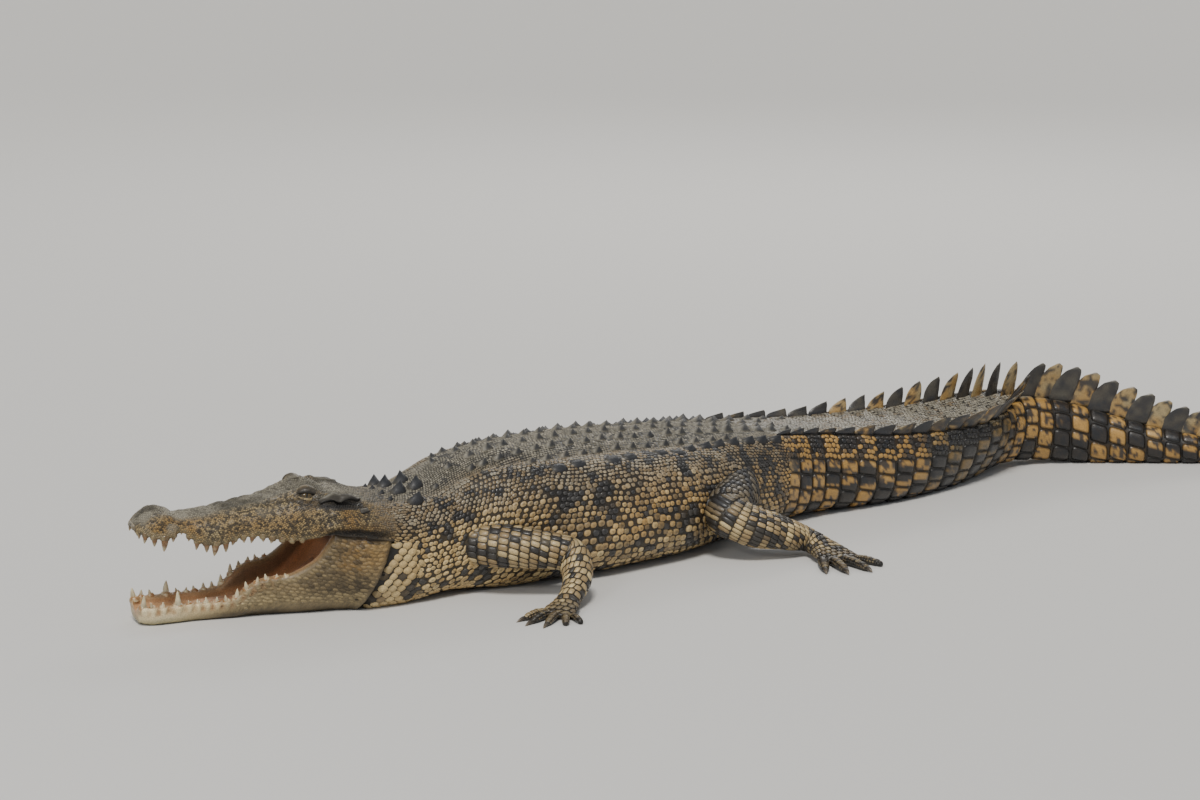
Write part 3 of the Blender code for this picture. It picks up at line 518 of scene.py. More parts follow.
def show(name, data):
    """A new object in the scene."""
    obj = bpy.data.objects.new(name, data)
    bpy.context.scene.collection.objects.link(obj)
    return obj


def link(name, vertices, faces, smooth=True):
    """A mesh object from arrays; faces is an array or a list of arrays."""
    mesh = bpy.data.meshes.new(name)
    faces = [faces] if isinstance(faces, np.ndarray) else faces
    mesh.vertices.add(len(vertices))
    mesh.vertices.foreach_set("co", np.asarray(vertices, dtype=np.float32).ravel())
    loops = np.concatenate([f.ravel() for f in faces])
    counts = np.concatenate([np.full(len(f), f.shape[1]) for f in faces])
    mesh.loops.add(len(loops))
    mesh.loops.foreach_set("vertex_index", loops.astype(np.int32))
    mesh.polygons.add(len(counts))
    mesh.polygons.foreach_set("loop_start", (np.cumsum(counts) - counts).astype(np.int32))
    mesh.polygons.foreach_set("loop_total", counts.astype(np.int32))
    mesh.update(calc_edges=True)
    mesh.validate()
    if smooth:
        mesh.shade_smooth()
    return show(name, mesh)


def capped(surface):
    """Vertices and faces of a grid with a fan over each end."""
    n, m = surface.points.shape[:2]
    i, j = np.meshgrid(np.arange(n - 1), np.arange(m), indexing="ij")
    k = (j + 1) % m
    quads = np.stack([i * m + j, i * m + k, (i + 1) * m + k, (i + 1) * m + j], axis=-1).reshape(-1, 4)
    vertices = surface.points.reshape(-1, 3)
    ends = surface.points[[0, -1]].mean(axis=1)
    j = np.arange(m)
    k = (j + 1) % m
    first = np.stack([k, j, np.full(m, n * m)], axis=1)
    last = np.stack([(n - 1) * m + j, (n - 1) * m + k, np.full(m, n * m + 1)], axis=1)
    return np.concatenate([vertices, ends]), [quads, np.concatenate([first, last])]


# ---------------------------------------------------------------- the skin

def span(start, end, step):
    """Values from start up to but without end, about a step apart."""
    return list(np.linspace(start, end, max(2, round((end - start) / step) + 1)))[:-1]


UPPER_ROWS = ([0.0015, 0.004, 0.007] + span(0.01, 0.4, 0.0048) + span(0.4, 0.6, 0.004)
              + span(0.6, NECK_FROM - 0.001, 0.006) + span(NECK_FROM, 1.05, 0.008)
              + span(1.05, TAIL_FROM, 0.0125) + span(TAIL_FROM, 3.45, 0.011) + span(3.45, 4.235, 0.0095)
              + [4.238])
JAW_ROWS = ([0.0145, 0.017, 0.02] + span(0.023, 0.35, 0.0048) + span(0.35, 0.6, 0.0042)
            + span(0.6, 0.745, 0.007) + [0.745])


LIP_S = np.linspace(0, 0.72, 241)
LIP_Z = np.array([float(upper_bottom(s)[0]) for s in LIP_S])


def grid_of(rows, half):
    """The closed grid of points whose half rings half(s) gives."""
    rings = []
    for s in rows:
        line = half(s)
        ring = np.concatenate([line, line[-2:0:-1] * (-1.0, 1.0)])
        rings.append(np.column_stack([np.full(len(ring), s), ring]))
    return Surface(rows, np.array(rings))


def bump(q, centre, reach, height):
    """A round swelling on both sides of the animal."""
    spot = q[..., 0], abs(q[..., 1]), q[..., 2]
    x, y, z = ((value - middle) / width for value, middle, width in zip(spot, centre, reach))
    return height * np.exp(-(x ** 2 + y ** 2 + z ** 2))


def crease(q, start, end, width, depth, deepest=0.5):
    """A groove on both sides along the line from start to end."""
    p = np.stack([q[..., 0], abs(q[..., 1]), q[..., 2]], axis=-1)
    a, b = np.array(start), np.array(end)
    t = unit(((p - a) @ (b - a)) / ((b - a) @ (b - a)))
    away = np.linalg.norm(p - (a + t[..., None] * (b - a)), axis=-1)
    return -depth * bell(away, width) * (1 - abs(t - deepest) ** 2)


def cleft_edge(s):
    """How high above the lips the dark cleft behind the mouth's corner reaches."""
    return 0.031 * np.sqrt(unit(1 - ((s - 0.588) / 0.105) ** 2))


def carved(rise, q, forms):
    """The relief with forms added: a swelling has three values, a crease four or five."""
    for form in forms:
        rise = rise + (bump if len(form) == 3 else crease)(q, *form)
    return rise


# Forms of the skull: swellings as (middle, reach, height), and creases as (start, end, width, depth,
# and where along it the crease is deepest). A crease of negative depth is a ridge.
SNOUT_FORMS = [
    ((0.068, 0.016, 0.33), (0.024, 0.018, 0.02), 0.0035),      # the nostrils on their disc
    ((0.064, 0.013, 0.331), (0.074, 0.02, 0.33), 0.0042, 0.0075),
] + [((s, out, float(profile(CROWN, s))), (0.019, 0.009, 0.016), height) for s, out, height in (
    (0.425, 0.043, 0.0045), (0.395, 0.038, 0.004), (0.362, 0.034, 0.004),      # ridges from the eyes
    (0.325, 0.031, 0.0034), (0.29, 0.029, 0.003), (0.25, 0.028, 0.0024))]
EYE_FORMS = [
    ((0.205, 0.075, 0.25), (0.045, 0.03, 0.03), 0.0045),
    ((EYE_AT - 0.028, EYE_OUT + 0.012, EYE_HEIGHT - 0.004), (0.016, 0.014, 0.016), 0.004),
    ((EYE_AT - 0.002, EYE_OUT - 0.008, EYE_HEIGHT + 0.024), (0.04, 0.02, 0.014), 0.0095),
    ((EYE_AT + 0.002, EYE_OUT + 0.024, EYE_HEIGHT - 0.02), (0.03, 0.014, 0.01), 0.0035),
    ((0.515, 0.073, 0.322), (0.022, 0.01, 0.01), 0.0035),      # the table of the skull
    ((0.575, 0.081, 0.318), (0.02, 0.012, 0.012), 0.0065),
    ((0.49, 0.08, 0.306), (0.592, 0.104, 0.297), 0.0085, 0.013),       # the ear
    ((0.49, 0.074, 0.321), (0.6, 0.092, 0.312), 0.0065, -0.006),
    ((EYE_AT - 0.044, 0.058, 0.318), (EYE_AT - 0.018, 0.066, 0.318), 0.004, 0.006, 0.9),
    ((EYE_AT + 0.018, 0.074, 0.312), (EYE_AT + 0.046, 0.08, 0.306), 0.004, 0.006, 0.1),
    ((0.512, 0.078, 0.318), (0.592, 0.09, 0.313), 0.0055, -0.005),
    ((0.6, 0.1, 0.297), (0.008, 0.01, 0.008), 0.007),
]
for s, out in ((0.345, 0.04), (0.375, 0.046), (0.41, 0.052)):      # creases ahead of the eye
    high = float(profile(CROWN, s)) - 0.01
    EYE_FORMS.append(((s, out, high), (s + 0.03, out + 0.006, high + 0.006), 0.0045, 0.0045))
CHEEK_FORMS = [
    ((0.525, 0.118, 0.281), (0.028, 0.02, 0.016), 0.006),
    ((0.495, 0.086, 0.297), (0.56, 0.122, 0.277), 0.005, 0.0045),
    ((0.49, 0.11, 0.263), (0.56, 0.14, 0.258), 0.008, 0.005),
    ((0.5, 0.13, 0.246), (0.63, 0.155, 0.232), 0.0105, -0.005),
]
CORNER_FORMS = [((0.615, 0.155, 0.238), (0.022, 0.02, 0.02), 0.005)] + [
    ((0.535 + 0.02 * k, 0.135, 0.236 - 0.004 * k), (0.6, 0.156, 0.221 - 0.007 * k), 0.0032, 0.0028)
    for k in range(4)]


def skull_relief(q, inside):
    """How far the skull's skin stands out from its plain form."""
    s, out, z = q[..., 0], abs(q[..., 1]), q[..., 2]
    flat = q.reshape(-1, 3)
    rough = 0.0017 * fractal(flat, 0.028, 3) + 0.0009 * noise(flat, 0.01, 5)
    rise = carved(rough.reshape(s.shape) * ramp(0.8, 0.66, s) * (1 - 0.7 * inside), q, SNOUT_FORMS)
    # swellings over the tooth sockets, and notches between them
    lip = np.interp(s, LIP_S, LIP_Z)
    near_lip = bell(z - lip, 0.016) * ramp(0.0, 0.02, out - 0.004)
    for s0, length, radius in UPPER_TEETH:
        rise += 0.17 * length * bell(s - s0, radius * 1.7) * near_lip * (1 - 0.6 * inside)
    rise = carved(rise, q, EYE_FORMS)
    ridged = (1 - 2 * abs(noise(flat, 0.017, 7))).reshape(s.shape)
    rise += 0.0026 * ridged * ramp(-0.045, -0.012, z - profile(CROWN, s)) * ramp(0.62, 0.52, s)
    rise = carved(rise, q, CHEEK_FORMS)
    edge, above, cheek = cleft_edge(s), z - lip, out > 0.09
    rise -= 0.013 * bell(above - 0.5 * edge, 0.011) * unit(edge / 0.028) * cheek
    rise += 0.006 * bell(above - edge - 0.01, 0.01) * unit(edge / 0.02) * cheek
    return carved(rise, q, CORNER_FORMS)


NECK_FORMS = [      # folds behind the limbs, and their muscles
    ((1.115, 0.29, 0.05), (1.1, 0.25, 0.22), 0.02, 0.008),
    ((1.62, 0.26, 0.21), (1.66, 0.29, 0.05), 0.02, 0.008),
    ((0.99, 0.2, 0.21), (0.1, 0.08, 0.07), 0.008), ((1.84, 0.2, 0.17), (0.1, 0.06, 0.06), 0.006),
]


def neck_relief(q):
    """Folds of the neck and behind the limbs, and the slack of the flanks."""
    s, out, z = q[..., 0], abs(q[..., 1]), q[..., 2]
    soft = (0.0032 * fractal(q.reshape(-1, 3) * (1.0, 1.0, 1.4), 0.16, 11)).reshape(s.shape)
    rise = soft * ramp(0.72, 0.9, s) * ramp(2.6, 2.0, s)
    for s0, deep in ((0.735, 0.006), (0.785, 0.005), (0.84, 0.006), (0.895, 0.004)):
        wave = s0 + 0.012 * np.sin(z * 17.0 + s0 * 40)
        rise -= deep * bell(s - wave, 0.011) * ramp(0.33, 0.24, z) * ramp(0.1, 0.16, out)
    return carved(rise, q, NECK_FORMS)


def whorl_starts():
    """Where each whorl of the tail starts, and how long it is."""
    pitches = [DOUBLE_PITCH - SINGLE_PITCH_LOSS * max(k - DOUBLE_WHORLS, 0)
               for k in range(DOUBLE_WHORLS + SINGLE_WHORLS)]
    starts = TAIL_FROM + np.concatenate([[0.0], np.cumsum(pitches)])
    return starts, np.array(pitches)


WHORLS, PITCHES = whorl_starts()
WHORL_GROOVE = 0.0035       # depth of the groove between two whorls


def gap_line(z):
    """Where the jaw ends and the neck's scales start, by height."""
    return 0.604 + 0.39 * (z - 0.03)


def tooth_lobes(s, below):
    """One on the pointed lobes of the lip under each lower tooth, nought between them."""
    depth = unit(below / 0.026)
    lobes = np.zeros(len(s))
    for s0, _, radius in LOWER_TEETH:
        wide = (radius * 1.55 + 0.002) * (1 - 0.8 * depth) + 0.001
        lobes = np.maximum(lobes, np.exp(-(abs(s - s0) / wide) ** 3))
    return lobes * (1 - ramp(0.75, 1.05, below / 0.026))


JAW_ROOT_FORMS = [((0.6, 0.15, 0.13), (0.05, 0.05, 0.05), 0.006)] + [      # its muscle and wrinkles
    ((s, 0.13, 0.175 + 0.004 * k), (s + 0.055, 0.16, 0.06 + 0.01 * k), 0.0026, 0.0014)
    for k, s in ((k, 0.5 + 0.013 * k) for k in range(7))]
JAW_FOLDS = [
    ((0.545, 0.145, 0.188), (0.64, 0.158, 0.182), 0.012, -0.006),
    ((0.53, 0.14, 0.222), (0.68, 0.16, 0.196), 0.0085, 0.008),
    ((0.3, 0.06, 0.01), (0.58, 0.13, 0.04), 0.01, 0.003),
]


def jaw_relief(q, inside):
    """How far the lower jaw's skin stands out from its plain form."""
    s, z = q[..., 0], q[..., 2]
    flat = q.reshape(-1, 3)
    rise = (0.001 * fractal(flat, 0.035, 23) + 0.0004 * noise(flat, 0.008, 25)).reshape(s.shape)
    rise = rise * ramp(0.74, 0.6, s)
    lip = profile(LOWER_LIP, s)
    near_lip = bell(z - lip + 0.006, 0.015)
    for s0, length, radius in LOWER_TEETH:
        rise += 0.12 * length * bell(s - s0, radius * 1.5) * near_lip * (1 - 0.5 * inside)
    lobes = tooth_lobes(s.ravel(), (lip - z).ravel()).reshape(s.shape)
    rise += (0.0042 * lobes - 0.0016) * ramp(0.03, 0.004, lip - z) * (1 - inside) * ramp(0.42, 0.34, s)
    rise = carved(rise, q, JAW_ROOT_FORMS)
    ahead = gap_line(z) - s
    rise -= 0.011 * bell(s - gap_line(z), 0.0085) * (1 - inside)
    rise += 0.006 * ramp(0.035, 0.01, ahead) * ramp(0.0, 0.008, ahead) * ramp(0.2, 0.15, z)
    return carved(rise, q, JAW_FOLDS)


def ring_columns(outer, inner):
    """Steps from the middle line for each column of a ring, alike on both sides."""
    column = np.arange(2 * (outer + inner))
    return np.minimum(column, 2 * (outer + inner) - column)


def make_upper():
    """The skin of the skull, neck, trunk and tail; inside is one within the mouth."""
    surface = grid_of(UPPER_ROWS, upper_half)
    s = surface.points[..., 0]
    surface.inside = ramp(OUTER - 1, OUTER + 3, ring_columns(OUTER, INNER))[None, :] * ramp(0.62, 0.56, s)
    relief = skull_relief(surface.points, surface.inside) + neck_relief(surface.points)
    phase = np.interp(s, WHORLS, np.arange(len(WHORLS)))
    fade = ramp(TAIL_FROM - 0.1, TAIL_FROM + 0.1, s) * ramp(4.24, 4.0, s)
    surface.swell(relief - WHORL_GROOVE * bell(phase - np.round(phase), 0.075) * fade)
    return surface.pose()


def make_jaw():
    """The skin of the lower jaw and of the mouth's floor."""
    surface = grid_of(JAW_ROWS, jaw_half)
    s = surface.points[..., 0]
    columns = ring_columns(JAW_OUTER, JAW_INNER)
    surface.inside = ramp(JAW_OUTER - 1, JAW_OUTER + 2, columns)[None, :] * ramp(0.64, 0.58, s)
    surface.swell(jaw_relief(surface.points, surface.inside) * ramp(0.74, 0.7, s))
    return surface.pose()


def spline(p, samples):
    """A smooth line from the first point to the last."""
    return smooth_line(np.concatenate([[2 * p[0] - p[1]], p, [2 * p[-1] - p[-2]]]), samples)


def tube(centres, spans, sides):
    """A closed grid around a line, flattened across the vertical."""
    along = np.gradient(centres, axis=0)
    along /= np.linalg.norm(along, axis=1, keepdims=True)
    level = np.cross(along, (0.0, 0.0, 1.0))
    level /= np.linalg.norm(level, axis=1, keepdims=True)
    up = np.cross(level, along)
    angle = once_round(sides)[None, :, None]
    rings = (centres[:, None] + level[:, None] * spans[:, None, :1] * np.cos(angle)
             + up[:, None] * spans[:, None, 1:] * np.sin(angle))
    rings[..., 2] = np.maximum(rings[..., 2], 0.0)
    return rings


def make_limb(segments, sign):
    """One limb's skin from inside the body to the end of its palm."""
    stops = []
    for index, part in enumerate(segments.values()):
        stops += part if index == 0 else part[1:]
    centres = np.array([stop for stop, _ in stops]) * (1, sign, 1)
    spans = np.array([size for _, size in stops]) - LIMB_COAT
    count = len(stops)
    centres, spans = spline(centres, LIMB_SAMPLES), spline(spans, LIMB_SAMPLES)
    index = np.linspace(0, count - 1, len(centres))
    # elbow or knee, and the muscles above and below it
    spans = spans * (1 + 0.05 * bell(index - 3.1, 0.35) - 0.05 * bell(index - 6.2, 0.5))[:, None]
    last, heading = centres[-1], centres[-1] - centres[-2]
    heading = heading / np.linalg.norm(heading)
    centres = np.concatenate([centres, [last + heading * reach for reach, _ in PALM_END]])
    spans = np.concatenate([spans, [spans[-1] * width for _, width in PALM_END]])
    surface = Surface(np.arange(len(centres)), tube(centres, spans, LIMB_SIDES))
    flat = surface.points.reshape(-1, 3)
    relief = 0.0022 * fractal(flat, 0.05, 31).reshape(surface.points.shape[:2])
    surface.swell(relief * ramp(0, 6, np.arange(len(centres)))[:, None])
    return surface.pose()


def make_digits(stops, digits, sign):
    """Each digit's skin, with the root, heading and radius of its claw."""
    ends = [np.array(stop) * (1, sign, 1) for stop, _ in stops[-2:]]
    forward = ends[1] - ends[0]
    forward[2] = 0
    forward /= np.linalg.norm(forward)
    across = np.array([-forward[1], forward[0], 0]) * sign
    made = []
    for turn, shift, length, radius, clawed in digits:
        angle = math.radians(turn) * sign
        c, d = math.cos(angle), math.sin(angle)
        heading = np.array([forward[0] * c - forward[1] * d, forward[0] * d + forward[1] * c, 0])
        root = ends[1] + across * shift - forward * DIGIT_ROOT
        reach = DIGIT_ROOT + length
        share = np.linspace(0, 1, TOE_LEVELS)
        swell = 0.93 + 0.1 * np.cos((share - 0.08) * math.pi * 2 * 2.6) ** 2
        width = np.interp(share, (0, 0.5, 0.9, 1.0), (0.84, 0.96, 0.78, 0.6)) * swell * radius
        centres = root + heading * (reach * share)[:, None]
        centres[:, 2] = width * DIGIT_REST + 0.002 * np.sin(share * math.pi)
        tip = centres[-1] + heading * 0.002
        centres = np.concatenate([centres, [tip]])
        width = np.append(width, width[-1] * 0.6)
        surface = Surface(np.arange(len(centres)), tube(centres, np.column_stack([width, width]), TOE_SIDES))
        made.append((surface.pose(), root + heading * (reach + CLAW_GAP), heading, radius, clawed))
    return made


def merged(solids, holes, added):
    """One closed mesh of the solids less the holes and with what is added, in straightened coordinates."""
    objects, actions = [], []
    for group, action in ((solids, "UNION"), (holes, "DIFFERENCE"), (added, "UNION")):
        for solid in group:
            obj = link("solid", *capped(solid), smooth=False)
            corners = obj.data.vertices
            volume = sum(corners[p.vertices[0]].co.dot(p.normal) * p.area for p in obj.data.polygons)
            if volume < 0:
                obj.data.flip_normals()
            objects.append(obj)
            actions.append(action)
    base = objects[0]
    for obj, action in zip(objects[1:], actions[1:]):
        modifier = base.modifiers.new("weld", "BOOLEAN")
        modifier.operation, modifier.solver, modifier.object = action, "MANIFOLD", obj
    bpy.context.view_layer.update()
    shape = base.evaluated_get(bpy.context.evaluated_depsgraph_get())
    mesh = bpy.data.meshes.new_from_object(shape)
    for obj in objects:
        data = obj.data
        bpy.data.objects.remove(obj)
        bpy.data.meshes.remove(data)
    return mesh


def eye_frame(sign):
    """Middle of an eye, and its axes along the head, upwards and the way it looks."""
    look = np.array([-0.22, sign * 1.0, 0.2])
    look /= np.linalg.norm(look)
    along = np.array([1.0, sign * 0.22, -0.1])
    along -= look * (along @ look)
    along /= np.linalg.norm(along)
    up = np.cross(along, look) * sign
    return np.array([EYE_AT - 0.005, sign * EYE_OUT, EYE_HEIGHT + 0.004]), along, up * np.sign(up[2]), look


def make_lids(sign):
    """Upper and lower lid of one eye: thick shells round the ball with an almond opening between them."""
    centre, along, up, look = eye_frame(sign)
    lids = []
    for high in (1, -1):
        turn = np.radians(np.linspace(-89, 89, 41))
        share = np.linspace(0, 1, 13)
        gape = np.radians(LID_GAPE[0] if high > 0 else LID_GAPE[1])
        edge = gape * np.clip(1 - abs(turn / np.radians(80)) ** 2.6, -0.1, 1)
        lift = edge[:, None] + (np.radians(118) - edge[:, None]) * share[None, :]
        level, risen = np.cos(lift)[..., None], np.sin(lift)[..., None]
        way = (np.sin(turn)[:, None, None] * along
               + np.cos(turn)[:, None, None] * (level * look + high * risen * up))
        thick = (0.0022 if high > 0 else 0.0014) + (0.0034 if high > 0 else 0.002) * ramp(0, 0.12, share)
        thick = thick + 0.0011 * np.sin(share * 34) * ramp(0.1, 0.3, share)
        outer = centre + way * (EYE_RADIUS + thick)[None, :, None]
        inner = centre + way[:, ::-1] * (EYE_RADIUS + LID_GAP)
        ring = np.concatenate([outer, inner], axis=1)
        lids.append(Surface(np.arange(len(turn)), ring))
    return lids


def make_socket(sign):
    """The hollow that the eyeball lies in."""
    centre = eye_frame(sign)[0]
    tilt, turn = np.radians(np.linspace(4, 176, 24)), once_round(36)
    ring = np.sin(tilt)[:, None]
    ahead = np.broadcast_to(np.cos(tilt)[:, None], (24, 36))
    way = np.stack([ahead, ring * np.cos(turn), ring * np.sin(turn)], axis=-1)
    return Surface(np.arange(24), centre + way * (EYE_RADIUS + LID_GAP))


def build_skin():
    """The merged skin, still straight, and the surfaces it is made of."""
    upper, jaw = make_upper(), make_jaw()
    limbs, claws = [], []
    for sign in (1, -1):
        for segments, digits, last in ((FORELIMB, FINGERS, "hand"), (HINDLIMB, TOES, "foot")):
            limb = make_limb(segments, sign)
            toes = make_digits(segments[last], digits, sign)
            limbs.append((limb, [toe[0] for toe in toes], last, sign))
            side = "left" if sign > 0 else "right"
            clawed = [toe[1:4] for toe in toes if toe[4]]
            claws += [(f"{last}_{side}_claw_{k + 1}", *claw) for k, claw in enumerate(clawed)]
    solids = [upper, jaw] + [limb[0] for limb in limbs] + [toe for limb in limbs for toe in limb[1]]
    lids = [lid for sign in (1, -1) for lid in make_lids(sign)]
    mesh = merged(solids, [make_socket(1), make_socket(-1)], lids)
    return mesh, upper, jaw, limbs, claws, lids


# ---------------------------------------------------------------- markings, with painted shade and highlights

# Colours of the hide, the mouth, the eyes and the horn, and the black of painted shade.
BLACK, SHADE_BLACK, DUST = np.array([(0.012, 0.013, 0.016), (0.009, 0.007, 0.005), (0.215, 0.195, 0.15)])
OLIVE, OCHRE, TAN = np.array([(0.075, 0.066, 0.045), (0.38, 0.215, 0.055), (0.27, 0.185, 0.085)])
CREAM, BONE, GUM = np.array([(0.52, 0.4, 0.2), (0.7, 0.6, 0.38), (0.36, 0.19, 0.075)])
UMBER, TAIL_BEND_SHADE, DRY_DUST = np.array([(0.17, 0.12, 0.06), (0.1, 0.075, 0.032), (0.42, 0.37, 0.28)])
CHEEK_DARK, CROWN_DARK, EYE_SHADE = np.array([
    (0.026, 0.019, 0.01), (0.04, 0.034, 0.025), (0.038, 0.029, 0.018)])
FLAP_AND_SHADE, EAR_CREASE_SHADE, CLEFT_SHADOW = np.array([(0.05, 0.042, 0.031), (0.008, 0.007, 0.006), (0.01, 0.008, 0.006)])
CLEFT_SHADOW_BROWN, NAPE_BROWN, PALATE_FRONT = np.array([(0.055, 0.036, 0.02), (0.2, 0.15, 0.09), (0.52, 0.3, 0.16)])
PALATE_REAR, GULLET, PALATE_RIM = np.array([(0.58, 0.31, 0.16), (0.13, 0.075, 0.052), (0.26, 0.19, 0.1)])
ALGAE, JAW_TAN, JAW_BROWN = np.array([(0.2, 0.19, 0.09), (0.26, 0.19, 0.09), (0.08, 0.055, 0.024)])
JAW_SPECK, CHIN_GREEN, CORNER_SHADOW = np.array([
    (0.035, 0.026, 0.013), (0.055, 0.05, 0.024), (0.012, 0.009, 0.006)])
FLOOR_FRONT, FLOOR_REAR, THROAT = np.array([(0.48, 0.28, 0.14), (0.56, 0.3, 0.15), (0.16, 0.09, 0.06)])
FLOOR_SIDE, THIGH_DARK, THIGH_TAN = np.array([
    (0.15, 0.115, 0.075), (0.06, 0.052, 0.038), (0.16, 0.125, 0.08)])
MUD, LID_STREAK, LID_EDGE_SHADE = np.array([(0.04, 0.032, 0.022), (0.04, 0.034, 0.026), (0.012, 0.011, 0.01)])
TOOTH, TOOTH_STAIN, UPPER_GUM = np.array([(0.66, 0.58, 0.38), (0.17, 0.085, 0.03), (0.26, 0.2, 0.1)])
UPPER_GUM_DARK, TONGUE_REAR, TONGUE_FRONT = np.array([
    (0.13, 0.08, 0.032), (0.4, 0.21, 0.11), (0.42, 0.24, 0.13)])
IRIS, IRIS_DARK, EYE_RIM = np.array([(0.1, 0.065, 0.02), (0.03, 0.022, 0.01), (0.035, 0.028, 0.018)])
PUPIL, CLAW_ROOT, CLAW_TIP = np.array([(0.004, 0.004, 0.004), (0.03, 0.024, 0.018), (0.16, 0.12, 0.075)])
EYELID, EYELID_EDGE = np.array([(0.048, 0.038, 0.026), (0.36, 0.27, 0.13)])


def tail_cell(q):
    """From -1, ochre, to 1, blue-black, for each plate of the tail: neighbours along a row alternate."""
    s, z = q[:, 0], q[:, 2]
    ring = np.floor(np.interp(s, WHORLS, np.arange(len(WHORLS))) + 1e-6)
    row = np.floor(np.clip(z / profile(TOP, s), 0, 0.999) * np.where(s < 3.1, 5, 2))
    side = np.where(q[:, 1] > 0, 0.0, 40.0)
    drift = noise(np.stack([ring * 0.37, row * 0.8, side], axis=1), 1.0, 77)
    return 0.62 * np.cos(ring * math.pi * 0.93 + row * 1.9 + side) + 0.75 * drift


def body_colour(q, rnd):
    """Neck, trunk and tail."""
    s, out, z = q[:, 0], abs(q[:, 1]), q[:, 2]
    high = (z - profile(BELLY, s)) / (profile(TOP, s) - profile(BELLY, s))
    flat = profile(FLAT_BACK, s)
    tail = ramp(2.0, 2.1, s)
    edge = out - flat
    on_back = ramp(0.035, -0.03, edge - 0.016 * noise(q, 0.05, 40) - 0.012 * rnd) * ramp(0.7, 0.88, high)
    on_back = on_back + (ramp(0.012, -0.004, edge) * ramp(0.85, 0.93, high) - on_back) * tail
    speck = noise(q, 0.007, 44)
    grime = fractal(q, 0.11, 45)
    flank = painted(
        TAN,
        (OCHRE * 1.15, unit(0.55 + 1.3 * rnd + 0.5 * noise(q, 0.12, 46))),
        (CREAM * 1.15, unit(0.1 + 0.9 * rnd + ramp(0.45, 0.1, high) * 0.45)),
        (TAN * 0.4, ramp(0.1, 0.4, noise(q, 0.006, 41)) * 0.7))
    umber = mix(UMBER, DUST * 1.2, unit(0.5 + 1.4 * rnd + 0.6 * noise(q, 0.03, 43)))
    flank = mix(flank, umber, ramp(0.5, 0.85, high - 0.1 * rnd) * 0.85 * (1 - tail))
    neck = ramp(1.1, 0.9, s) * ramp(0.75, 0.55, high)
    flank = mix(flank, mix(CREAM * 1.35, OCHRE * 1.1, unit(0.4 - 0.6 * rnd)), neck * 0.8)
    spot = noise(q * (1.0, 1.0, 1.2), 0.036, 47) + 0.25 * noise(q, 0.018, 48) + 0.8 * rnd
    where = ramp(0.26, 0.36, spot + 0.04 * ramp(0.4, 0.7, high) - 0.1 * neck
                 - 0.1 * ramp(0.8, 0.92, high) - 0.2 * ramp(1.2, 1.02, s))
    flank = mix(flank, BLACK + 0.01 * (1 + speck)[:, None], where * (1 - tail) * 0.96)
    cell = tail_cell(q)
    block = painted(
        OCHRE * 1.15,
        (CREAM * 0.9, unit(0.25 * rnd + 0.15 * grime)),
        (BLACK * 1.5, ramp(0.1, 0.3, noise(q, 0.011, 49) + 0.3 * noise(q, 0.03, 42)) * 0.92))
    # painted shade: the plates over the tail's bend are darkened
    shade = ramp(2.55, 2.75, s) * ramp(3.15, 2.95, s)
    block = painted(
        block,
        (TAIL_BEND_SHADE, shade * 0.75), (BLACK, ramp(0.02, 0.12, cell + 0.1 * speck + 0.15 * shade) * 0.97))
    flank = mix(flank, block, tail)
    loose = rnd * (1 - 0.6 * tail)
    back = painted(
        DUST * 1.45,
        (OLIVE * 1.5, unit(0.34 + 0.45 * grime + 0.9 * loose)),
        (DRY_DUST, np.clip(1.3 * noise(q, 0.02, 39) - 0.4 - loose, 0, 0.7)),
        (BLACK * 2, ramp(0.35, 0.65, noise(q, 0.03, 50) + 0.7 * loose) * 0.7 * (1 - 0.5 * tail)),
        (mix(OCHRE * 0.5, OLIVE, unit(0.5 + 2 * speck)), ramp(0.05, 0.4, noise(q, 0.021, 38)) * 0.55 * tail))
    back = back * (1 - 0.26 * ramp(2.45, 2.1, s) * tail)[:, None]
    return mix(flank, back, on_back) * (1 + 0.16 * grime + 0.1 * speck)[:, None]


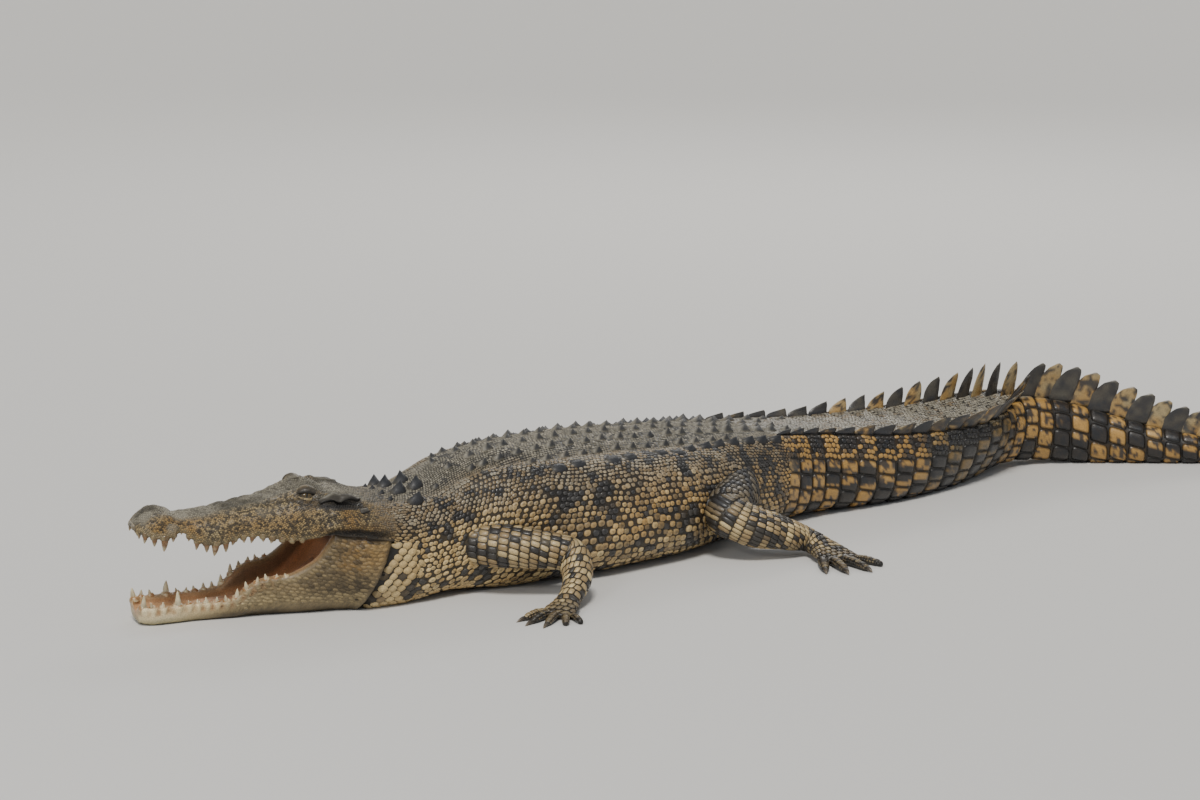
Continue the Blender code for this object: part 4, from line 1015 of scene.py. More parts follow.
def skull_colour(q, rnd, inside):
    """Snout, crown, cheek, ear and palate; inside is one within the mouth."""
    s, out, z = q[:, 0], abs(q[:, 1]), q[:, 2]
    lip = np.interp(s, LIP_S, LIP_Z)
    crown = profile(CROWN, s)
    on_top = ramp(-0.034, -0.008, z - crown + 0.01 * noise(q, 0.03, 59))
    on_top = on_top * ramp(0.024, -0.008, out - profile(CROWN_HALF_WIDTH, s))
    speck = 0.6 * noise(q, 0.0045, 60) + 1.5 * rnd
    grime = fractal(q, 0.05, 61)
    side = mix(OCHRE * 0.86, CREAM * 0.74, unit(0.5 + 0.6 * grime))
    side = side * (1 - 0.22 * ramp(0.46, 0.56, s))[:, None]
    side = mix(side, CHEEK_DARK, ramp(-0.18, 0.22, speck + 0.18 * grime) * 0.92)
    top = painted(
        DUST * 1.7,
        (OLIVE * 1.5, unit(0.45 + 0.9 * grime)), (CROWN_DARK, ramp(0.0, 0.5, speck + 0.3 * grime) * 0.65))
    colour = mix(side, top, on_top)
    dusty = ramp(0.1, 0.45, noise(q, 0.035, 62)) * ramp(0.42, 0.25, s)
    colour = mix(colour, DUST * 1.7, dusty * 0.55)
    margin = ramp(0.024, 0.006, z - lip) * ramp(0.0, 0.02, s)
    colour = mix(colour, mix(CREAM * 0.66, OLIVE, unit(0.3 + 0.5 * grime)),
                 margin * np.clip(0.55 + 0.5 * rnd, 0, 0.9))
    cheek = np.exp(-(((s - 0.575) / 0.06) ** 2 + ((z - 0.241) / 0.011) ** 2))
    colour = mix(colour, OCHRE * 1.0, cheek * np.clip(0.5 + 1.0 * rnd, 0, 0.9))
    away = np.sqrt(((s - EYE_AT) / 0.042) ** 2 + ((z - EYE_HEIGHT) / 0.028) ** 2
                   + ((out - EYE_OUT - 0.02) / 0.05) ** 2)
    colour = mix(colour, EYE_SHADE, ramp(1.15, 0.7, away) * 0.75)
    shelf = 0.32 - 0.1 * (s - 0.48)
    ear = ramp(0.474, 0.492, s) * ramp(0.606, 0.598, s) * ramp(0.05, 0.07, out)
    flap = ear * ramp(-0.023, -0.02, z - shelf) * ramp(0.006, 0.003, z - shelf)
    # the dark flap under the shelf is partly its own colour and partly painted shade from the shelf's
    # overhang; the pale line along the shelf's top is a painted highlight, and the crease below is painted
    # black as shade
    colour = painted(
        colour,
        (FLAP_AND_SHADE * (1 + 0.5 * noise(q * (0.3, 1, 1), 0.004, 63))[:, None], flap * 0.92),
        (DUST * 0.9, bell(z - shelf - 0.006, 0.0035) * ear * 0.8),
        (EAR_CREASE_SHADE, bell(z - 0.304 + 0.088 * (s - 0.49), 0.005) * ear * 0.98))
    # painted shadow: the cleft under the cheek ridge, behind the mouth's corner, is darkened
    edge = cleft_edge(s) + 0.004 * noise(q, 0.012, 64)
    cleft = ramp(edge, edge - 0.01, z - lip) * ramp(0.003, 0.008, edge) * ramp(0.09, 0.11, out)
    colour = mix(colour, mix(CLEFT_SHADOW, CLEFT_SHADOW_BROWN, ramp(0.2, 0.6, speck)), cleft * 0.95)
    nape = ramp(0.6, 0.66, s)
    colour = mix(colour, mix(NAPE_BROWN, BLACK * 2, ramp(-0.1, 0.2, rnd + 0.3 * grime)), nape * 0.7)
    deep = ramp(0.1, 0.5, s)
    palate = mix(PALATE_FRONT, PALATE_REAR, deep) * (1 + 0.25 * grime)[:, None]
    palate = mix(palate, GULLET, ramp(0.495, 0.535, s))
    rim = ramp(0.016, 0.0, profile(LIP_HALF_WIDTH, s) - out)
    palate = mix(palate, PALATE_RIM, rim * 0.85)
    return mix(colour, palate, inside * ramp(0.004, 0.02, s))


def jaw_colour(q, rnd, inside):
    """The lower jaw, from its cream fore part to the scales behind it, and the floor of the mouth."""
    s, z = q[:, 0], q[:, 2]
    lip = profile(LOWER_LIP, s)
    speck = noise(q, 0.0055, 70) + 0.9 * rnd
    grime = fractal(q, 0.07, 71)
    fore = painted(
        BONE * 1.15,
        (CREAM * 1.2, unit(0.35 + 0.7 * grime)), (ALGAE, ramp(0.03, 0.0, z + 0.01 * grime) * 0.7))
    rear = painted(
        JAW_TAN,
        (JAW_BROWN, unit(0.45 + 0.8 * grime + 0.9 * rnd)),
        (CREAM * 0.8, ramp(0.085, 0.05, z) * ramp(0.015, 0.035, z) * 0.7))
    ridge = ramp(0.1, 0.16, z) * ramp(0.5, 0.56, s)
    rear = painted(
        rear,
        (OCHRE * 0.85, ridge * unit(0.5 + 0.5 * rnd)),
        (JAW_SPECK, ramp(0.1, 0.5, speck + 0.3 * grime) * (0.35 + 0.45 * ridge)),
        (CREAM * 0.62, ramp(0.03, 0.004, lip - z) * ramp(0.5, 0.42, s) * 0.6))
    colour = mix(fore, rear, ramp(0.16, 0.36, s + 0.1 * ramp(0.06, 0.02, z) - 0.03 * grime))
    below = lip - z
    lobe = tooth_lobes(s, below)
    gap = ramp(0.027, 0.012, below) * (1 - lobe) * ramp(0.42, 0.3, s)
    colour = painted(
        colour,
        (GUM * 0.9, gap * np.clip(0.85 + 0.5 * noise(q, 0.011, 73), 0, 0.95)),
        (CHIN_GREEN, ramp(0.028, 0.0, z) * ramp(0.2, 0.35, s) * 0.8))
    scale = painted(
        CREAM * 1.55,
        (TAN * 1.3, unit(0.35 + 1.5 * rnd + 0.4 * noise(q, 0.02, 75))),
        (OCHRE * 1.1, ramp(0.12, 0.22, z) * np.clip(0.4 + rnd, 0, 0.8)),
        (BLACK * 2, ramp(0.42, 0.55, noise(q, 0.03, 74) + 0.7 * rnd - 0.5 * ramp(0.19, 0.12, z)) * 0.9))
    behind = ramp(-0.004, 0.006, s - gap_line(z))
    # painted shadow: the groove where the jaw ends and the neck's scales start is darkened
    colour = painted(
        colour,
        (scale, behind),
        (SHADE_BLACK, bell(s - gap_line(z) - 0.003, 0.011) * ramp(0.25, 0.21, z) * 0.97))
    # painted shadow: the jaw's edge under the cheek ridge, behind the mouth's corner, is darkened
    seam = np.interp(s, LIP_S, LIP_Z)
    cleft = ramp(0.014, 0.002, seam - z + 0.005 * noise(q, 0.012, 64))
    cleft = cleft * ramp(0.5, 0.53, s) * ramp(0.69, 0.66, s)
    colour = mix(colour, CORNER_SHADOW, cleft * 0.9)
    bed = mix(FLOOR_FRONT, FLOOR_REAR, ramp(0.12, 0.48, s)) * (1 + 0.2 * grime)[:, None]
    bed = painted(
        bed,
        (THROAT, ramp(0.505, 0.535, s) * ramp(0.15, 0.18, z)),
        (FLOOR_SIDE, ramp(0.014, 0.028, z - profile(MOUTH_FLOOR, s)) * 0.75),
        (mix(GUM, CREAM * 0.6, unit(0.5 + grime)), ramp(0.012, 0.002, lip - z) * 0.7))
    return mix(colour, bed, inside)


def limb_colour(q, rnd, hind):
    """Limbs: blotched cream, with dark thighs and muddy feet."""
    out, z = abs(q[:, 1]), q[:, 2]
    spot = 0.8 * noise(q, 0.034, 81) + 0.3 * noise(q, 0.02, 82) + 1.0 * rnd
    colour = mix(TAN * 1.25, CREAM * 1.35, unit(0.4 + 0.8 * noise(q, 0.015, 83) + 0.5 * rnd))
    upper_part = ramp(0.43, 0.32, out) * ramp(0.1, 0.17, z)
    dark = mix(THIGH_DARK, THIGH_TAN, unit(0.4 + 0.9 * rnd))
    colour = mix(colour, dark, upper_part * (0.95 if hind else 0.25))
    spot = spot + (0.1 if hind else -0.06)
    colour = painted(
        colour,
        (BLACK * 1.4, ramp(0.08, 0.22, spot) * 0.95),
        (MUD, ramp(0.05, 0.025, z) * ramp(0.42, 0.47, out) * 0.7))
    return colour * (1 + 0.15 * noise(q, 0.006, 80))[:, None]


def hide_colour(zone, q, rnd, inside=0.0):
    """Colour of the hide at straightened points; rnd is each scale's own chance, from -1 to 1."""
    inside = np.broadcast_to(inside, rnd.shape)
    if zone in ("fore", "hind"):
        colour = limb_colour(q, rnd, zone == "hind")
    elif zone == "body":
        colour = body_colour(q, rnd)
    else:
        head = jaw_colour(q, rnd, inside) if zone == "jaw" else skull_colour(q, rnd, inside)
        colour = mix(head, body_colour(q, rnd), ramp(0.6, 0.74, q[:, 0] + 0.04 * rnd))
    return np.clip(colour, 0.002, 1)


# ---------------------------------------------------------------- scales

def plate(sides=8, square=0.6, keel=0.0, tilt=0.0, peak=0.0, point=0.0, shoulder=0.78, rings=3, roof=0.0):
    """A closed scale on a unit footprint: (back, across, height) of its points, its rim and its faces."""
    angle = 2 * math.pi * (np.arange(sides) + 0.5) / sides
    x = squared(np.cos(angle), square)
    y = squared(np.sin(angle), square)
    x, y = x / abs(x).max(), y / abs(y).max()
    x = np.where(x > 0, x * (1 + point * (1 - abs(y))), x)
    levels = [(0.97, -0.9, 1.0), (1.0, 0.18, 0.95), (shoulder, 0.8, 0.12)]
    if rings == 2:
        levels = [(1.0, -0.7, 1.0), (shoulder, 0.75, 0.25)]
    made = []
    for share, height, rim in levels:
        lift = np.full(sides, height)
        if height > 0:
            lift = lift + tilt * x * share + roof * y * share
            lift = lift + keel * 0.55 * (1 - abs(y)) ** 2 * (share < 0.9)
        ahead = x * share + (peak * 0.3 if share < 0.9 else 0)
        made.append(np.column_stack([ahead, y * share, lift, np.full(sides, rim)]))
    points = np.concatenate(made + [[[peak, 0.0, 1.0 + keel + tilt * peak, 0.0]]])
    i = np.arange(sides)
    j = (i + 1) % sides
    top = (len(levels) - 1) * sides
    quads = np.concatenate([np.stack([i + a, j + a, j + a + sides, i + a + sides], axis=1)
                            for a in range(0, top, sides)])
    fan = np.stack([i + top, j + top, np.full(sides, top + sides)], axis=1)
    base = np.stack([np.zeros(sides - 2, int), i[2:], i[1:-1]], axis=1)
    return points[:, :3], points[:, 3], quads, np.concatenate([fan, base])


def block(nx=8, ny=6, square=0.32, tilt=0.1):
    """A closed domed plate of a fine grid, for the large plates of the tail."""
    u, v = np.meshgrid(np.linspace(-1, 1, nx), np.linspace(-1, 1, ny), indexing="ij")
    away = np.maximum(abs(u), abs(v))
    angle = np.arctan2(v, u)
    reach = (abs(np.cos(angle)) ** (2 / square) + abs(np.sin(angle)) ** (2 / square)) ** (-square / 2)
    x, y = reach * away * np.cos(angle), reach * away * np.sin(angle)
    height = 0.15 + 0.85 * (1 - away ** 4) + tilt * x
    rim = ramp(0.72, 1.0, away)
    border = ([(i, 0) for i in range(nx)] + [(nx - 1, j) for j in range(1, ny)]
              + [(i, ny - 1) for i in range(nx - 2, -1, -1)] + [(0, j) for j in range(ny - 2, 0, -1)])
    ring = np.array([i * ny + j for i, j in border])
    points = np.column_stack([x.ravel(), y.ravel(), height.ravel()])
    low = points[ring] * (0.97, 0.97, 0.0) + (0, 0, -0.9)
    i, j = np.meshgrid(np.arange(nx - 1), np.arange(ny - 1), indexing="ij")
    cells = (i * ny + j).ravel()
    quads = np.stack([cells, cells + ny, cells + ny + 1, cells + 1], axis=1)
    n, k = nx * ny, np.arange(len(ring))
    after = (k + 1) % len(ring)
    quads = np.concatenate([quads, np.stack([ring[k], ring[after], n + after, n + k], axis=1)])
    base = np.stack([np.full(len(ring) - 2, n), n + k[2:], n + k[1:-1]], axis=1)
    return np.concatenate([points, low]), np.concatenate([rim.ravel(), np.ones(len(ring))]), quads, base


def measure(surface, knots):
    """Give the surface the arc length round it up to each knot column, by row, and its run."""
    closed = np.concatenate([surface.bent, surface.bent[:, :1]], axis=1)
    along = np.cumsum(np.linalg.norm(np.diff(closed, axis=1), axis=2), axis=1)
    surface.knots = np.array(knots)
    surface.arcs = np.concatenate([np.zeros((len(closed), 1)), along], axis=1)[:, knots]
    steps = np.linalg.norm(np.diff(surface.bent.mean(axis=1), axis=0), axis=1)
    surface.run = np.concatenate([[0.0], np.cumsum(steps)])
    if len(knots) == 2:
        surface.stretch = 1 / np.maximum(np.gradient(surface.run), 1e-5)


def locate(surface, s, a, side):
    """Fractional row and column of the place at s, an arc a round from the first column."""
    row = np.interp(s, surface.rows, np.arange(len(surface.rows)))
    i = np.clip(row.astype(int), 0, len(surface.rows) - 2)
    f = (row - i)[:, None]
    arcs = surface.arcs[i] * (1 - f) + surface.arcs[i + 1] * f
    if len(surface.knots) == 2:
        return row, a / np.maximum(arcs[:, 1], 1e-9) * surface.knots[1]
    column = np.zeros(len(s))
    for k in range(len(surface.knots) - 1):
        share = unit((abs(a) - arcs[:, k]) / np.maximum(arcs[:, k + 1] - arcs[:, k], 1e-9))
        column += share * (surface.knots[k + 1] - surface.knots[k])
    return row, column * np.where(a < 0, -1, 1) * side


FLOOR_CLEARANCE = 0.0004        # least height of a scale over the floor
PLAIN_PATCH, FINE_PATCH = 0.0015, 0.01      # half a scale's own patch of the unwrap


class Coat:
    """Collects scales over the skin and joins them into one piece."""

    def __init__(self, name, zone, unwrap):
        self.name, self.zone, self.unwrap = name, zone, unwrap
        self.vertices, self.colours, self.maps, self.faces, self.count = [], [], [], [], 0

    def lay(self, surface, shape, s, a, side, half_s, half_a, thick,
            seam=0.97, tint=None, fine=False, hidden=(), lean=0.0):
        """Lay one scale at each (s, a), of these half lengths, half widths and thicknesses in metres.

        seam is how far its rim is darkened with painted shade, tint changes its colour by place on it, fine
        gives each point its own colour, hidden names surfaces inside which scales are left out, and lean
        slants it across its length.
        """
        side, half_s, half_a, thick = (np.broadcast_to(value, s.shape)
                                       for value in (side, half_s, half_a, thick))
        row, column = locate(surface, s, a, side)
        root = surface.read(row, column, surface.points)
        keep = np.ones(len(s), bool)
        for other in hidden:
            keep &= outside(root, other)
        if not keep.any():
            return
        s, a, side, half_s, half_a, thick, row, column, root = (
            value[keep] for value in (s, a, side, half_s, half_a, thick, row, column, root))
        points, rim, quads, fans = shape
        n, v = len(s), len(points)
        if hasattr(surface, "stretch"):
            half_s = half_s * np.interp(s, surface.rows, surface.stretch)
        x, y, h = points.T
        vs = (s[:, None] + x * half_s[:, None]).ravel()
        va = (a[:, None] + y * half_a[:, None] + lean * x * half_a[:, None]).ravel()
        r, c = locate(surface, vs, va, np.repeat(side, v))
        spot = surface.read(r, c, surface.bent)
        normal = surface.read(r, c, surface.bent_normals)
        normal /= np.linalg.norm(normal, axis=1, keepdims=True)
        spot = spot + normal * (h * thick[:, None]).ravel()[:, None]
        spot[:, 2] = np.maximum(spot[:, 2], FLOOR_CLEARANCE)
        rnd = noise(np.column_stack([s * 900, a * 900, side * 5.0]), 1.0, 5)
        if fine:
            colour = hide_colour(self.zone, surface.read(r, c, surface.points), np.repeat(rnd, v))
        else:
            colour = np.repeat(hide_colour(self.zone, root, rnd), v, axis=0)
        if tint is not None:
            colour = tint(colour, np.repeat(root, v, axis=0), np.tile(points, (n, 1)))
        # painted shade: each scale's rim is darkened, standing in for the shade between scales
        colour = mix(colour, SHADE_BLACK, np.tile(rim, n) * seam)
        uv = np.repeat(self.unwrap(surface, row, column), v, axis=0)
        patch = FINE_PATCH if fine else PLAIN_PATCH
        self.vertices.append(spot)
        self.colours.append(colour)
        self.maps.append(uv + np.tile(points[:, :2], (n, 1)) * patch)
        offset = self.count + np.arange(n)[:, None, None] * v
        self.faces += [(quads[None] + offset).reshape(-1, 4), (fans[None] + offset).reshape(-1, 3)]
        self.count += n * v

    def make(self, material):
        """Join the scales into one object with their colours, unwrap and material."""
        obj = link(self.name, np.concatenate(self.vertices), self.faces)
        turn_out(obj)
        finish(obj, np.concatenate(self.colours), np.concatenate(self.maps), material)


def turn_out(obj):
    """Turn the faces of closed shells outwards."""
    shells = bmesh.new()
    shells.from_mesh(obj.data)
    bmesh.ops.recalc_face_normals(shells, faces=shells.faces)
    shells.to_mesh(obj.data)
    shells.free()


def finish(obj, colours, uv, material):
    """Give a piece its colours, unwrap and material, and let it ride on the body."""
    layer = obj.data.color_attributes.new("Hide", "FLOAT_COLOR", "POINT")
    layer.data.foreach_set(
        "color", np.column_stack([colours, np.ones(len(colours))]).astype(np.float32).ravel())
    if uv is not None:
        unwrap = obj.data.uv_layers.new(name="OFBake")
        index = np.empty(len(obj.data.loops), dtype=np.int32)
        obj.data.loops.foreach_get("vertex_index", index)
        unwrap.data.foreach_set("uv", np.clip(uv, 0.001, 0.999)[index].astype(np.float32).ravel())
    obj.data.materials.clear()
    obj.data.materials.append(material)
    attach(obj, "root")


COVER = 0.006       # how deep inside another part a scale may lie before it is left out


def outside(points, surface):
    """Which straightened points lie outside a surface, or less than COVER inside it."""
    if not hasattr(surface, "tree"):
        flat = surface.points.reshape(-1, 3)
        surface.tree = KDTree(len(flat))
        for i, p in enumerate(flat):
            surface.tree.insert(p, i)
        surface.tree.balance()
    low, high = surface.points.min(axis=(0, 1)) - 0.01, surface.points.max(axis=(0, 1)) + 0.01
    near = np.nonzero(((points > low) & (points < high)).all(axis=1))[0]
    keep = np.ones(len(points), bool)
    flat, normals = surface.points.reshape(-1, 3), surface.normals.reshape(-1, 3)
    for k in near:
        i = surface.tree.find(points[k])[1]
        keep[k] = (points[k] - flat[i]) @ normals[i] > -COVER
    return keep


def spread(low, high):
    """An unwrap of a body between two s, with its seam along the belly."""
    def unwrap(surface, row, column):
        s = np.interp(row, np.arange(len(surface.rows)), surface.rows)
        half = surface.points.shape[1] / 2
        around = (np.asarray(column) + half) % (2 * half) / (2 * half)
        return np.column_stack([0.005 + 0.99 * (s - low) / (high - low), 0.005 + 0.99 * around])
    return unwrap


def box_unwrap(left, low, right, high):
    """An unwrap of a whole surface in a box of the map."""
    def unwrap(surface, row, column):
        u = row / (len(surface.rows) - 1)
        m = surface.points.shape[1]
        return np.column_stack([left + (right - left) * u, low + (high - low) * (np.asarray(column) % m / m)])
    return unwrap


def lattice(start, end, pitch, rows):
    """A brick pattern: s of each scale and its row."""
    s, k = [], []
    for row in range(rows):
        places = np.arange(start + pitch * 0.5 * (row % 2), end, pitch)
        s.append(places)
        k.append(np.full(len(places), row))
    return np.concatenate(s), np.concatenate(k)


def warp(s, a, side, amount, size, seed):
    """Places shifted by smooth noise, so that rows waver."""
    p = np.column_stack([s, a, np.full(len(s), side * 1.0)])
    return s + amount * noise(p, size, seed), a + amount * noise(p, size, seed + 1)


def chance(s, a, seed):
    """A number from -1 to 1 for each scale."""
    return noise(np.column_stack([s * 811, a * 811, np.full(len(s), seed * 3.7)]), 1.0, seed)


def half_girth(surface, s):
    """Arc from the middle of the back to the middle of the belly."""
    return np.interp(s, surface.rows, surface.arcs[:, -1])


def back_edge(s):
    """Arc from the middle of the back to the edge of its shield."""
    return profile(FLAT_BACK, s) * 1.06 + 0.004


def clear_of_scutes(s, a):
    """Which places lie outside the scutes."""
    keep = np.ones(len(s), bool)
    for s0, a0, hs, ha, _ in SCUTES:
        keep &= ((s - s0) / (hs * 1.02)) ** 2 + ((a - a0) / (ha * 1.02)) ** 2 > 0.88
    return keep


def ringed(colour, root, points):
    """A bright ring round a dull middle, on most of the flank's scales."""
    away = np.hypot(points[:, 0], points[:, 1])
    pick = ramp(-0.5, 0.2, noise(root, 0.01, 96))
    colour = colour * (1 + 0.35 * ramp(0.5, 0.7, away))[:, None]
    return mix(colour, colour * 0.3, ramp(0.5, 0.1, away) * pick * 0.85)


# Bands of the flanks and of the neck, each with its start and end, its scales' pitch, the upper and lower
# share of the flank that it covers, the height of its rows, and the scales' squareness, point, tilt and roof.
FLANK_BANDS = [
    (1.0, 2.06, 0.0135, 0.0, 0.18, 0.0115, 0.9, 0.0, 0.05, 0.0),
    (1.0, 2.06, 0.0185, 0.18, 0.36, 0.016, 0.8, 0.0, 0.05, 0.05),
    (1.0, 2.05, 0.024, 0.36, 0.74, 0.0205, 0.72, 0.1, 0.15, 0.15),
    (1.0, 2.05, 0.027, 0.74, 1.0, 0.028, 0.45, 0.05, 0.1, 0.1),
    (0.668, 1.0, 0.0115, 0.0, 0.24, 0.01, 1.0, 0.0, 0.05, 0.0),
    (0.668, 1.0, 0.015, 0.24, 0.5, 0.013, 0.9, 0.1, 0.15, 0.15),
    (0.668, 1.0, 0.0205, 0.5, 1.0, 0.0158, 0.85, 0.25, 0.3, 0.3),
]


def lay_flanks():
    """Scales of the flanks and neck: long rows, small at the back's edge and larger and squarer below."""
    coats = []
    for side, name in ((1, "left"), (-1, "right")):
        coat = Coat("scales_flank_" + name, "body", spread(0.64, 2.1))
        near = [limb[0] for limb in limbs if limb[3] == side]
        for start, end, pitch, low, high, height, square, point, tilt, roof in FLANK_BANDS:
            middle = (start + end) / 2
            rows = round(float(half_girth(upper, middle) - back_edge(middle)) * (high - low) / height)
            s, k = lattice(start, end, pitch, rows)
            room = (half_girth(upper, s) - back_edge(s)) * (high - low)
            a = back_edge(s) + room * low / (high - low) + room * (k + 0.5) / rows
            size = 0.93 + 0.22 * chance(s, a, 6)
            half = room / rows / 2 * 0.98 * size
            s, a = s + 0.22 * pitch * chance(s, a, 14), a + 0.2 * height * chance(s, a, 15)
            s, a = warp(s, a, side, 0.0045 + 0.15 * pitch, 0.045, 90)
            keep = clear_of_scutes(s, a)
            coat.lay(upper, plate(9, square, tilt=tilt, peak=0.1, point=point, roof=roof, shoulder=0.74),
                     s[keep], a[keep], side,
                     pitch * 0.485 * size[keep], half[keep], pitch * (0.12 + 0.02 * size[keep]),
                     hidden=near + ([jaw] if start < 1.0 else []), tint=ringed)
        coats.append(coat)
    return coats


def scute_places():
    """Keeled scutes of the back and nape: s, out, half length, half width and keel of each."""
    places = []
    for row in range(22):
        for column, out in enumerate((0.03, 0.088, 0.146, 0.205)):
            s = 0.975 + 0.0615 * row + 0.004 * math.sin(row * 2.3 + column * 1.7)
            rear = float(ramp(1.55, 2.0, s))
            low = 1 - 0.75 * float(ramp(1.98, 2.28, s))
            if (column == 0 and s < 2.17) or column == 1 or (column == 2 and 1.04 < s < 1.87):
                size = (1.0, 0.95 + 0.45 * rear, 0.95)[column] * (0.4 + 0.6 * low)
                keel = 1.4 + 0.5 * math.sin(row * 1.7 + column) + 0.9 * rear * (column == 1)
                places.append((s, out, 0.019 * size, 0.0155 * size, keel * low))
            elif column == 3 and 1.05 < s < 1.6 and math.sin(row * 2.1 + 0.6) > -0.45:
                places.append((s, out + 0.006 * math.sin(row * 1.3), 0.0255, 0.019, 0.15))
            elif column == 3 and 1.6 < s < 2.03:
                out = float(np.interp(s, (1.6, 1.8, 2.03), (0.198, 0.178, 0.166)))
                places.append((s, out, 0.0235, 0.0165, 1.1 + 1.0 * float(ramp(1.6, 1.85, s))))
    places += [(0.732, 0.034, 0.023, 0.021, 4.3), (0.788, 0.032, 0.024, 0.021, 4.3),
               (0.744, 0.102, 0.022, 0.019, 3.8), (0.69, 0.07, 0.009, 0.008, 0.5),
               (0.688, 0.026, 0.009, 0.008, 0.5), (0.826, 0.075, 0.011, 0.01, 0.6),
               (0.9, 0.035, 0.014, 0.013, 1.4), (0.94, 0.085, 0.015, 0.013, 1.4)]
    return np.array(places)


SCUTES = scute_places()


def dust_and_glint(colour, root, points):
    """Dust on the front of the scutes with a painted highlight, dark keels and tips, and black ones on the
    nape and outer rows.
    """
    # painted highlight: the scutes' pale fronts are partly dust, partly a highlight painted in
    colour = painted(
        colour,
        (DUST * 1.7, ramp(0.0, -0.7, points[:, 0]) * 0.6),
        (BLACK * 1.3, ramp(-0.6, -0.2, points[:, 0]) * ramp(0.95, 0.6, abs(points[:, 1])) * 0.94))
    black = np.maximum(ramp(0.84, 0.8, root[:, 0]), ramp(0.165, 0.175, abs(root[:, 1])))
    black = np.maximum(black, ramp(1.56, 1.62, root[:, 0]) * ramp(0.15, 0.156, abs(root[:, 1])))
    return mix(colour, BLACK * 1.5, black * ramp(-1.2, -0.2, points[:, 0] + 0.3) * 0.95)


def lay_back():
    """Scutes of the back in crossing rows, with granules between them."""
    coat = Coat("scutes_back", "body", spread(0.6, 2.35))
    s, a, half_s, half_a, keel = SCUTES.T
    for side in (1, -1):
        coat.lay(upper, plate(14, 0.85, keel=1.7, peak=0.4, tilt=0.3, shoulder=0.58),
                 s, a * 1.01, side, half_s, half_a, 0.0048 * (0.55 + 0.42 * keel), seam=0.5, tint=dust_and_glint)
    coats = [coat]
    for part, (low, high, pitch) in enumerate(((0.6, 1.02, 0.008), (1.02, 2.06, 0.0098))):
        grains = Coat(f"granules_back_{part + 1}", "body" if part else "skull", spread(low, high))
        for side in (1, -1):
            s, k = lattice(low, high, pitch, 48)
            s, a = warp(s, (k + 0.5) * pitch * 0.9, side, 0.0028, 0.018, 95)
            beyond = 0.004 if part else 0.035 * ramp(0.72, 0.66, s) + 0.03 * ramp(1.0, 0.8, s)
            keep = a < back_edge(s) + beyond
            keep &= clear_of_scutes(s, a)
            s, a = s[keep], a[keep]
            size = pitch * (0.43 + 0.09 * chance(s, a, 7))
            grains.lay(upper, plate(6, 1.0, rings=2), s, a, side, size * 1.04, size, size * 0.36, seam=0.7)
        coats.append(grains)
    return coats


def lay_tail():
    """Rings of plates round the tail: large blocks on its sides, fine scales along its top."""
    coats = []
    for side, name in ((1, "left"), (-1, "right")):
        coat = Coat("plates_tail_" + name, "body", spread(2.03, 4.26))
        fine = Coat("scales_tail_" + name, "body", spread(2.03, 4.26))
        for whorl, (start, pitch) in enumerate(zip(WHORLS[:-1], PITCHES)):
            middle = start + pitch / 2
            double = whorl < DOUBLE_WHORLS
            inner = float(profile(FLAT_BACK, middle)) - 0.01 if double else 0.0
            total = float(half_girth(upper, middle))
            band = (0.072 if double else 0.0) * float(ramp(3.1, 2.6, start))
            for low, high, step in ((0.0, inner, 0.0115), (inner + 0.014, inner + 0.014 + band, 0.0175)):
                rows = round((high - low) / (step * 0.85))
                if rows > 0:
                    s, k = lattice(start + step * 0.45, start + pitch - step * 0.3,
                                   pitch / round(pitch / step), rows)
                    a = low + (k + 0.5) * (high - low) / rows
                    on_top = low == 0.0
                    ahead = (0.15 if on_top else 0.12) * step * chance(s, a, 16)
                    s, a = s + ahead, a + 0.12 * step * chance(s, a, 17)
                    s, a = warp(s, a, side, 0.0025, 0.02, 98)
                    keep = clear_of_scutes(s, a)
                    s, a = s[keep], a[keep]
                    fine.lay(upper, plate(7, 0.9), s, a, side,
                             step * (0.52 + 0.06 * chance(s, a, 12)), (high - low) / rows * 0.53,
                             step * (0.09 if on_top else 0.15), seam=0.45 if on_top else 0.9)
            low = inner + 0.016 + band if double else 0.003
            count = max(3, round((total - low) / (0.046 + 0.008 * ramp(2.9, 3.2, start))))
            half = (total - low) / count / 2
            a = low + (np.arange(count) * 2 + 1) * half
            coat.lay(upper, block(9, 7, 0.34),
                     middle + 0.002 * np.sin(np.arange(count) * 2.1 + whorl), a, side,
                     pitch * 0.47, half * 0.94, 0.0038 - 0.0018 * float(ramp(3.2, 4.1, start)), fine=True)
        coats += [coat, fine]
    return coats


def arc_at(s, z):
    """Arc from the crown to the height z on the side of the skull at s."""
    a = np.linspace(0.03, 0.25, 221)
    q = upper.read(*locate(upper, np.full(len(a), s), a, 1.0), upper.points)
    return float(a[np.argmax((q[:, 1] > 0.05) & (q[:, 2] < z))])


def lid_tint(colour, root, points):
    """The lid of the ear: pale along its top, dust and a painted highlight, dark streaks below, and black at
    its lower edge as painted shade.
    """
    x, y = points[:, 0], points[:, 1]
    streak = noise(np.column_stack([x * 0.02, y * 0.02, np.zeros(len(x))]), 0.006, 110)
    colour = mix(DUST * 0.75, LID_STREAK, ramp(-0.75, -0.25, y + 0.25 * streak) * 0.95)
    return mix(colour, LID_EDGE_SHADE, ramp(0.55, 0.9, y))


